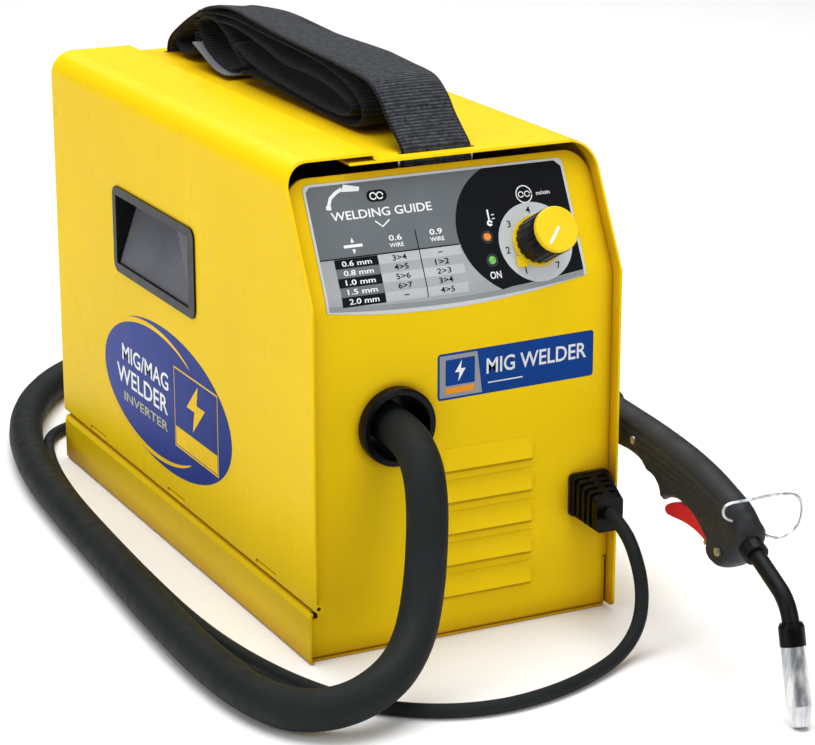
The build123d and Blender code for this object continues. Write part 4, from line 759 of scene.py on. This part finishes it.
def door_emblem():
    """Oval on the door: a blue ground, a tapering yellow ring, plain words and a spark square."""

    def layer(name, cells, level, material):
        printed(name, cells, on_door, DECAL_LIFT + DECAL_STEP * level, material, "door")

    oval = arc((EMBLEM_U, EMBLEM_Z), EMBLEM_WIDE, 0, 357, 120, EMBLEM_TALL / EMBLEM_WIDE)
    layer("emblem_ground", [oval], 0, emblem_blue())
    layer("emblem_ring", emblem_ring(), 1, YELLOW_INK)

    words = word("MIG/MAG", (-52.0, 115.5), 12.0, 86.0) + word("WELDER", (-58.5, 98.6), 13.0, 95.0)
    layer("emblem_words", words, 2, WHITE_INK)
    layer("emblem_small_words", word("INVERTER", (-52.5, 83.6), 6.6, 82.0), 2, ink("pale_ink", "#B9BC9A"))

    box = stripe([(2.0, 76.0), (76.0, 76.0), (76.0, 130.5), (2.0, 130.5)], 1.4, closed=True)
    layer("emblem_square_line", box, 2, YELLOW_INK)
    layer("emblem_square_band", [[(3.4, 77.2), (74.6, 77.2), (74.6, 90.0), (3.4, 90.0)]], 2, YELLOW_INK)
    bolt = [(39 + (u - 39) * 1.7, z) for u, z in spark(39.0, 110.5, 17.0)]
    layer("emblem_spark", [bolt], 2, YELLOW_INK)


front_badge()
door_emblem()


# -------- carrying strap
STRAP_LEFT, STRAP_RIGHT = -21.5, 25.5
WEB_T = 2.2
EDGE_ROUND, EDGE_THICK = 1.6, 0.35  # width of the webbing's rounded edge, and its share of the thickness
CROWN, RIPPLE, RIPPLE_PITCH = 0.5, 0.15, 17.0  # how far the band bulges and waves out of its path
WEAVE_SHARE = 0.92  # V at the webbing's edge, as a share of its width
SAG = 7.0  # how far the outer band's right edge hangs at the most


def smooth_path(points, steps=6):
    """Catmull-Rom curve through the points."""
    path = []
    padded = [points[0], *points, points[-1]]
    for i in range(len(points) - 1):
        a, b, c, d = (Vector(p) for p in padded[i:i + 4])
        for k in range(steps):
            t = k / steps
            square, cube = 2 * a - 5 * b + 4 * c - d, 3 * b - 3 * c + d - a
            path.append(0.5 * (2 * b + (c - a) * t + square * t**2 + cube * t**3))
    path.append(Vector(points[-1]))
    return path


def ribbon(name, profile, material, left=STRAP_LEFT, right=STRAP_RIGHT, thick=WEB_T, drop=None):
    """Flat webbing along a (y, z) profile, with rounded edges and a slight crown, mapped for its weave."""
    path = smooth_path(profile)
    lengths = [0.0]
    for a, b in zip(path, path[1:]):
        lengths.append(lengths[-1] + (b - a).length)
    # cross-section: the outer face from left to right, then the inner face back
    across = 10
    shares = [k / across for k in range(across + 1)]
    section = [(share, 0.5) for share in shares] + [(share, -0.5) for share in reversed(shares)]
    verts, coords = [], []
    for i, point in enumerate(path):
        run = (path[min(i + 1, len(path) - 1)] - path[max(i - 1, 0)]).normalized()
        out = Vector((-run.y, run.x))
        for share, side in section:
            x = left + (right - left) * share
            edge = min(share, 1 - share) * (right - left)
            plump = min(1.0, EDGE_THICK + edge / EDGE_ROUND)
            wave = RIPPLE * sin(lengths[i] / RIPPLE_PITCH + 5 * share)
            shift = CROWN * sin(pi * share) + wave + side * thick * plump
            fall = drop(point.x, share) if drop else 0.0
            verts.append(Vector((x, point.x + out.x * shift, point.y + out.y * shift - fall)) * MM)
            coords.append((lengths[i] * MM, abs(share - 0.5) * (right - left) * 2 * MM * WEAVE_SHARE))
    ring = len(section)
    faces = []
    for i in range(len(path) - 1):
        for k in range(ring):
            a, b = i * ring + k, i * ring + (k + 1) % ring
            faces.append((a, b, b + ring, a + ring))
    last = (len(path) - 1) * ring
    faces.append(tuple(range(ring))[::-1])
    faces.append(tuple(range(last, last + ring)))
    obj = piece(name, verts, faces, material, "chassis", smooth=True)
    layer = obj.data.uv_layers.new(name="weave")
    for loop in obj.data.loops:
        layer.data[loop.index].uv = coords[loop.vertex_index]
    return obj


def carry_strap():
    """Strap folded back and forth on itself, with its outer band through both slots of the cover."""

    def outer_drop(y, share):
        """The band's right edge sags towards the rear."""
        return SAG * share * clamp((y + 60) / 120) * clamp((214 - y) / 40)

    outer = [
        (-172.5, 289), (-172.6, 296), (-171, 302), (-162, 309), (-151, 317.5), (-141, 327), (-124, 335.5),
        (-92, 338), (-57.5, 339.6), (-18, 341.5), (18, 343.4), (54, 346), (88, 348.2), (126, 344.5),
        (163, 331.5), (190, 319), (203, 311), (208, 303), (208, 289),
    ]
    band = ribbon("strap_band", outer, FINISHES["strap_webbing"], drop=outer_drop)
    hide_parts("carry_strap")
    # the inner folds are the same webbing in darker colours: painted shade under the outer band
    dark = webbing("strap_inner_webbing_in_shade", "#16181D", "#24272D")
    long_fold = [
        (150, 338), (96, 342), (40, 340), (-20, 337.5), (-62, 334.5), (-92, 329), (-110, 321.5), (-116, 314),
        (-112, 307), (-98, 302.8), (-60, 303), (-10, 305.5), (40, 308), (76, 307),
    ]
    ribbon("strap_long_fold", long_fold, dark, left=-20.6, right=24.4)
    inner_fold = [
        (120, 336), (84, 337), (40, 332), (0, 326), (-40, 325.4), (-74, 322), (-94, 317.8), (-101, 313.5),
        (-97, 309.4), (-84, 307), (-56, 307.4), (-14, 310), (30, 313), (62, 318), (84, 325),
    ]
    ribbon("strap_inner_fold", inner_fold, dark, left=-21.2, right=24.0)
    rear_fold = [
        (66, 312), (84, 320), (100, 330), (120, 336.5), (140, 335), (148, 329), (140, 318), (124, 309.5),
        (104, 306.5), (88, 306.8),
    ]
    ribbon("strap_rear_fold", rear_fold, dark, left=-21.3, right=24.2)
    rear_loop = [
        (158, 331), (172, 326.5), (186, 318), (192, 311), (186, 305.6), (172, 304), (160, 308), (154, 315),
        (156, 322),
    ]
    ribbon("strap_rear_loop", rear_loop, dark, left=-20.8, right=24.6)
    tab = [(147, 316.5), (132, 311.8), (112, 305.6), (96, 303.4), (86, 303.6)]
    grey = finish("grey_tab", "#6F7276", 0.8, grain=1600, depth=0.0001, vary=0.1, sheen=0.1)
    ribbon("strap_end_tab", tab, grey, left=-26.5, right=-6.0, thick=1.6)


carry_strap()


# -------- torch handle and its wire loop
TORCH_TURN = radians(4.5)
TORCH_ORIGIN = Vector((108.4, -426.2, 0))
TORCH_ALONG = Vector((sin(TORCH_TURN), cos(TORCH_TURN), 0))
TORCH_RIGHT = Vector((cos(TORCH_TURN), -sin(TORCH_TURN), 0))
HANDLE_HALF, HANDLE_REAR = 12.5, 262.0
TAPER, TAPER_END, TAPER_RUN = 2.4, 150.0, 80.0  # the half width lessens towards the front
BACK_ROUND, BELLY_ROUND, FRONT_ROUND, REAR_ROUND = 12.5, 5.0, 3.2, 1.5
GROOVE_DEPTH, GROOVE_WIDTH, GROOVE_FADE = 0.95, 0.8, 10.0
FIELD_START, FIELD_STEP, FIELD_SHIFT = (62.0, 67.0), (1.95, 0.68), 0.9  # points inside the side view
FIELD_COLUMNS, FIELD_ROWS, FIELD_MARGIN = 104, 90, 3.6
RING_DEPTHS = (0.25, 0.8, 1.7, 2.9)  # rings of points close inside the outline
LOOP_S, LOOP_R = 72.0, 0.9
LOOP_PATH = (
    (-9.5, 103.3), (-16.0, 106.0), (-15.5, 114.5), (0, 114.8), (20, 116.5), (37, 113.5), (37.5, 95.0),
    (24, 87.5), (15.5, 89.5), (10.5, 93.1),
)


def on_torch(along, up, right):
    """Place of a point given by its way along the torch, its height and its way to the right."""
    return (TORCH_ORIGIN + TORCH_ALONG * along + TORCH_RIGHT * right + Vector((0, 0, up))) * MM


# side view of the handle, as (along, up)
HANDLE_SPINE = [
    (66, 105), (77, 111.5), (92, 115.6), (118, 121), (150, 124.6), (190, 126.6), (230, 127), (262, 127),
]
HANDLE_BELLY = [(262, 102), (235, 101.5), (218, 102.6), (202, 103.6), (188, 102.4), (179, 98)]
HANDLE_NOTCH = [(179, 98), (170, 97.2), (163, 93), (161.5, 84.5)]
HANDLE_ARCH = [(161.5, 84.5), (149, 90.8), (133, 92.6), (117, 88.6), (104, 80)]
HANDLE_CHIN = [(104, 80), (102, 72.5), (95, 68.3), (84, 68.6), (74.5, 75.5)]
HANDLE_NOSE = [(74.5, 75.5), (66, 86), (63, 97), (66, 105)]
SLOT_S, SLOT_UP, SLOT_HALF = (96.5, 162.0), (60.0, 97.0), 7.8  # where the trigger's slot is cut
# each groove's depth below the spine, and where it starts and ends
GROOVES = ((6.5, 84, 226), (10.6, 82, 205), (14.7, 84, 188), (18.8, 90, 172), (22.6, 98, 150))


def reach_to(point, path):
    """Distance from a point to a line of points."""
    best = 1e9
    for a, b in zip(path, path[1:]):
        run = b - a
        share = clamp((point - a).dot(run) / max(run.length_squared, 1e-9))
        best = min(best, (point - a - run * share).length)
    return best


def handle_width(point, spine, belly, front):
    """Half width of the handle at a point of its side view: rounded back, softer belly and long grooves."""

    def rounding(distance, radius):
        return sqrt(max(0.0, 1 - (1 - min(distance / radius, 1.0)) ** 2))

    s = point.x
    half = HANDLE_HALF - TAPER * clamp((TAPER_END - s) / TAPER_RUN)
    from_spine = reach_to(point, spine)
    width = half * rounding(from_spine, BACK_ROUND) * rounding(reach_to(point, belly), BELLY_ROUND)
    width *= rounding(reach_to(point, front), FRONT_ROUND) * rounding(HANDLE_REAR - s, REAR_ROUND)
    for depth, start, end in GROOVES:
        window = clamp((s - start) / GROOVE_FADE) * clamp((end - s) / GROOVE_FADE)
        width -= GROOVE_DEPTH * window * exp(-(((from_spine - depth) / GROOVE_WIDTH) ** 2))
    return max(width, 0.0)


def cut_trigger_slot(handle):
    """Opens the slot between the cheeks, where the trigger swings."""
    mesh = bmesh.new()
    corners = [(s, up, right) for s in SLOT_S for up in SLOT_UP for right in (-SLOT_HALF, SLOT_HALF)]
    made = [mesh.verts.new(on_torch(*corner)) for corner in corners]
    bmesh.ops.convex_hull(mesh, input=made)
    data = bpy.data.meshes.new("trigger_slot")
    mesh.to_mesh(data)
    mesh.free()
    cutter = linked("trigger_slot", data)
    modifier = handle.modifiers.new("slot", "BOOLEAN")
    modifier.operation = "DIFFERENCE"
    modifier.object = cutter
    result = bpy.data.meshes.new_from_object(handle.evaluated_get(bpy.context.evaluated_depsgraph_get()))
    handle.modifiers.clear()
    handle.data = result
    bpy.data.objects.remove(cutter)


def is_inside(spot, outline):
    """Whether a point lies inside a closed outline."""
    crossings = 0
    for a, b in zip(outline, outline[1:] + outline[:1]):
        if (a.y > spot.y) != (b.y > spot.y):
            if spot.x < a.x + (b.x - a.x) * (spot.y - a.y) / (b.y - a.y):
                crossings += 1
    return crossings % 2 == 1


def handle_points(outline):
    """Outline of the side view, rings close inside it, then an even field of points."""
    count = len(outline)
    closed = outline + outline[:1]
    flat = list(outline)
    for inset in RING_DEPTHS:
        for i in range(count):
            run = (outline[(i + 1) % count] - outline[i - 1]).normalized()
            spot = outline[i] + Vector((run.y, -run.x)) * inset
            if reach_to(spot, closed) > 0.94 * inset:
                flat.append(spot)
    for k in range(FIELD_ROWS):
        for j in range(FIELD_COLUMNS):
            along = FIELD_START[0] + FIELD_STEP[0] * j + FIELD_SHIFT * (k % 2)
            spot = Vector((along, FIELD_START[1] + FIELD_STEP[1] * k))
            if is_inside(spot, outline) and reach_to(spot, closed) > FIELD_MARGIN:
                flat.append(spot)
    return flat


def torch_handle():
    """Handle with a rounded back, finger notches, grooved cheeks and a slot for the trigger."""
    spine, belly = smooth_path(HANDLE_SPINE, 8), smooth_path(HANDLE_BELLY, 6)
    notch, arch = smooth_path(HANDLE_NOTCH, 6), smooth_path(HANDLE_ARCH, 6)
    chin, nose = smooth_path(HANDLE_CHIN, 6), smooth_path(HANDLE_NOSE, 6)
    outline = spine + belly + notch[1:] + arch[1:] + chin[1:] + nose[1:-1]
    edges = [(i, (i + 1) % len(outline)) for i in range(len(outline))]
    points, _, faces, *_ = delaunay_2d_cdt(handle_points(outline), edges, [], 1, 0.001)
    widths = [handle_width(p, spine, belly + notch + arch, chin + nose) for p in points]
    mesh = bmesh.new()
    for side in (-1, 1):
        made = [mesh.verts.new(on_torch(p.x, p.y, side * w)) for p, w in zip(points, widths)]
        for face in faces:
            corners = [made[i] for i in face]
            mesh.faces.new(corners if side < 0 else corners[::-1])
    bmesh.ops.remove_doubles(mesh, verts=mesh.verts, dist=0.00002)
    bmesh.ops.recalc_face_normals(mesh, faces=mesh.faces)
    data = bpy.data.meshes.new("torch_handle")
    mesh.to_mesh(data)
    mesh.free()
    data.materials.append(GRIP_BLACK)
    data.polygons.foreach_set("use_smooth", [True] * len(data.polygons))
    handle = linked("torch_handle", data)
    cut_trigger_slot(handle)
    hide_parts("handle_left", "handle_right")
    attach(handle, "chassis")


torch_handle()


def hanging_loop():
    """Smooth wire loop whose ends turn in the two cheeks of the handle's nose."""
    points = [on_torch(LOOP_S, up, right) / MM for right, up in LOOP_PATH]
    wire = nurbs("hanging_wire", [tuple(p) for p in points], LOOP_R, FINISHES["bright_chrome"])
    data = bpy.data.meshes.new_from_object(wire)
    bpy.data.objects.remove(wire)
    data.polygons.foreach_set("use_smooth", [True] * len(data.polygons))
    loop = settle("hanging_wire_loop", data, "loop")
    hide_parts("hanging_loop")


hanging_loop()


# -------- grip recess
SCOOP = (-33.8, 95.8, 178.7, 226.2)  # front, rear, low and high limits of the grip recess
SCOOP_NEAR, SCOOP_DEEP = 0.8, 15.8  # the sloping floor's least and greatest depth
SCOOP_FRONT, SCOOP_REAR = 3.6, 3.2  # how far its top corners are set in


def grip_scoop():
    """Sloping floor of the grip recess: from the lower edge at the outside up to the back of the top."""
    front, rear, low, high = SCOOP
    near, deep = CASE_LEFT + SCOOP_NEAR, CASE_LEFT + SCOOP_DEEP
    corners = [
        (near, rear, low),
        (near, front, low),
        (deep, (front + rear) / 2, high),
        (deep, rear - SCOOP_REAR, high),
        (near + SCOOP_FRONT, front, high),
    ]
    verts = [Vector(c) * MM for c in corners]
    piece("grip_scoop", verts, [(0, 1, 2, 3), (1, 4, 2)], SCOOP_GREY, "door")


grip_scoop()


# -------- base and louvres
LIP_OUT, LIP_IN, LIP_PAST = 0.1, 3.5, 2.0  # out from the door's side, inwards, and past the case's ends
LIP_LOW, LIP_HIGH = 33.4, 34.6  # heights of the lip's outer and inner edges
LOUVRE_X, LOUVRE_HALF, LOUVRE_Z, LOUVRE_PITCH, LOUVRES = 16.0, 34.0, 28.0, 20.5, 5
# painted shadows under the louvre lips
SHADES = (("deep", "#A47C0C", 1.5, 0.06), ("soft", "#C9A010", 3.4, 0.03))  # name, colour, height, lift
SHADE_INSET = 2.0


def base_lip():
    """Turned-in lip of the base flange, under the door's hinge."""
    outer, inner = CASE_LEFT - LIP_OUT, CASE_LEFT + LIP_IN
    rear = -PANEL_Y + LIP_PAST
    corners = [(outer, -rear, LIP_LOW), (outer, rear, LIP_LOW)]
    corners += [(inner, rear, LIP_HIGH), (inner, -rear, LIP_HIGH)]
    verts = [Vector(c) * MM for c in corners]
    piece("base_lip", verts, [(0, 1, 2, 3)], FINISHES["yellow_paint"], "chassis")


def louvre_shades():
    """Painted shadow under each louvre's lip, darkest at the lip."""
    for name, colour, drop, lift in SHADES:
        cells = []
        for row in range(LOUVRES):
            lip = LOUVRE_Z + row * LOUVRE_PITCH
            left, right = LOUVRE_X - LOUVRE_HALF, LOUVRE_X + LOUVRE_HALF
            low_left, low_right = (left + SHADE_INSET, lip - drop), (right - SHADE_INSET, lip - drop)
            cells.append([low_left, low_right, (right, lip), (left, lip)])
        paint = ink(f"{name}_shade", colour)
        printed(f"louvre_shade_{name}", cells, on_front, lift, paint, "chassis")


base_lip()
louvre_shades()


# -------- dial
CAP_TOP = 31.2  # top of the dial's cap above the sloping panel
POINTER, POINTER_WIDTH, POINTER_LIFT = [(-7.4, -8.6), (1.0, 1.2)], 1.9, 0.1


def dial_mark():
    """White pointer line on the dial's cap, from its middle towards the low end of the scale."""
    line = stripe(POINTER, POINTER_WIDTH)
    cells = [[(DIAL_X + u, DIAL_S + v) for u, v in cell] for cell in line]
    printed("dial_mark", cells, on_panel, CAP_TOP - FILM + POINTER_LIFT, WHITE_INK, "dial")


dial_mark()


# -------- floor, light and output
FLOOR_HALF, FLOOR_DROP = 8.0, 0.0004
ROOM_STRENGTH = 0.62
ROOM_LOW, ROOM_HIGH = (0.30, (0.09, 0.09, 0.10, 1.0)), (0.85, (1.0, 1.0, 1.0, 1.0))  # height and colour


def area_light(name, place, aim, size, power):
    """Soft rectangular light that points at a place."""
    data = bpy.data.lights.new(name, "AREA")
    data.shape = "RECTANGLE"
    data.size, data.size_y = size
    data.energy = power
    light = linked(name, data)
    light.location = place
    light.rotation_euler = (Vector(aim) - Vector(place)).to_track_quat("-Z", "Y").to_euler()


def make_floor():
    """Plain pale floor."""
    data = bpy.data.meshes.new("floor")
    corners = [(x * FLOOR_HALF, y * FLOOR_HALF, 0) for x, y in ((-1, -1), (1, -1), (1, 1), (-1, 1))]
    data.from_pydata(corners, [], [(0, 1, 2, 3)])
    data.materials.append(finish("floor", "#FFFFFF", 0.7, grain=400, depth=0.00001, vary=0.01, specular=0.1))
    floor = linked("floor", data)
    floor.location.z = -FLOOR_DROP


def make_room():
    """Room that is dim at the sides and almost white overhead."""
    world = bpy.data.worlds.new("room")
    world.use_nodes = True
    tree = world.node_tree
    split = tree.nodes.new("ShaderNodeSeparateXYZ")
    ramp = tree.nodes.new("ShaderNodeValToRGB")
    tree.links.new(tree.nodes.new("ShaderNodeTexCoord").outputs["Generated"], split.inputs["Vector"])
    tree.links.new(split.outputs["Z"], ramp.inputs["Fac"])
    for stop, (height, colour) in zip(ramp.color_ramp.elements, (ROOM_LOW, ROOM_HIGH)):
        stop.position = height
        stop.color = colour
    tree.links.new(ramp.outputs["Color"], tree.nodes["Background"].inputs["Color"])
    tree.nodes["Background"].inputs["Strength"].default_value = ROOM_STRENGTH
    SCENE.world = world
    SCENE.view_settings.view_transform = "Standard"


make_floor()
area_light("top_soft", (-0.1, 0.1, 2.6), (0, 0, 0), (2.4, 2.4), 66)
area_light("left_soft", (-2.8, -0.7, 1.3), (0, 0, 0.15), (1.6, 1.8), 22)
area_light("front_soft", (0.7, -3.0, 1.5), (0, 0, 0.15), (1.8, 1.4), 24)
area_light("rear_soft", (0.9, 2.6, 1.9), (0, 0, 0.1), (2.6, 1.6), 16)
make_room()
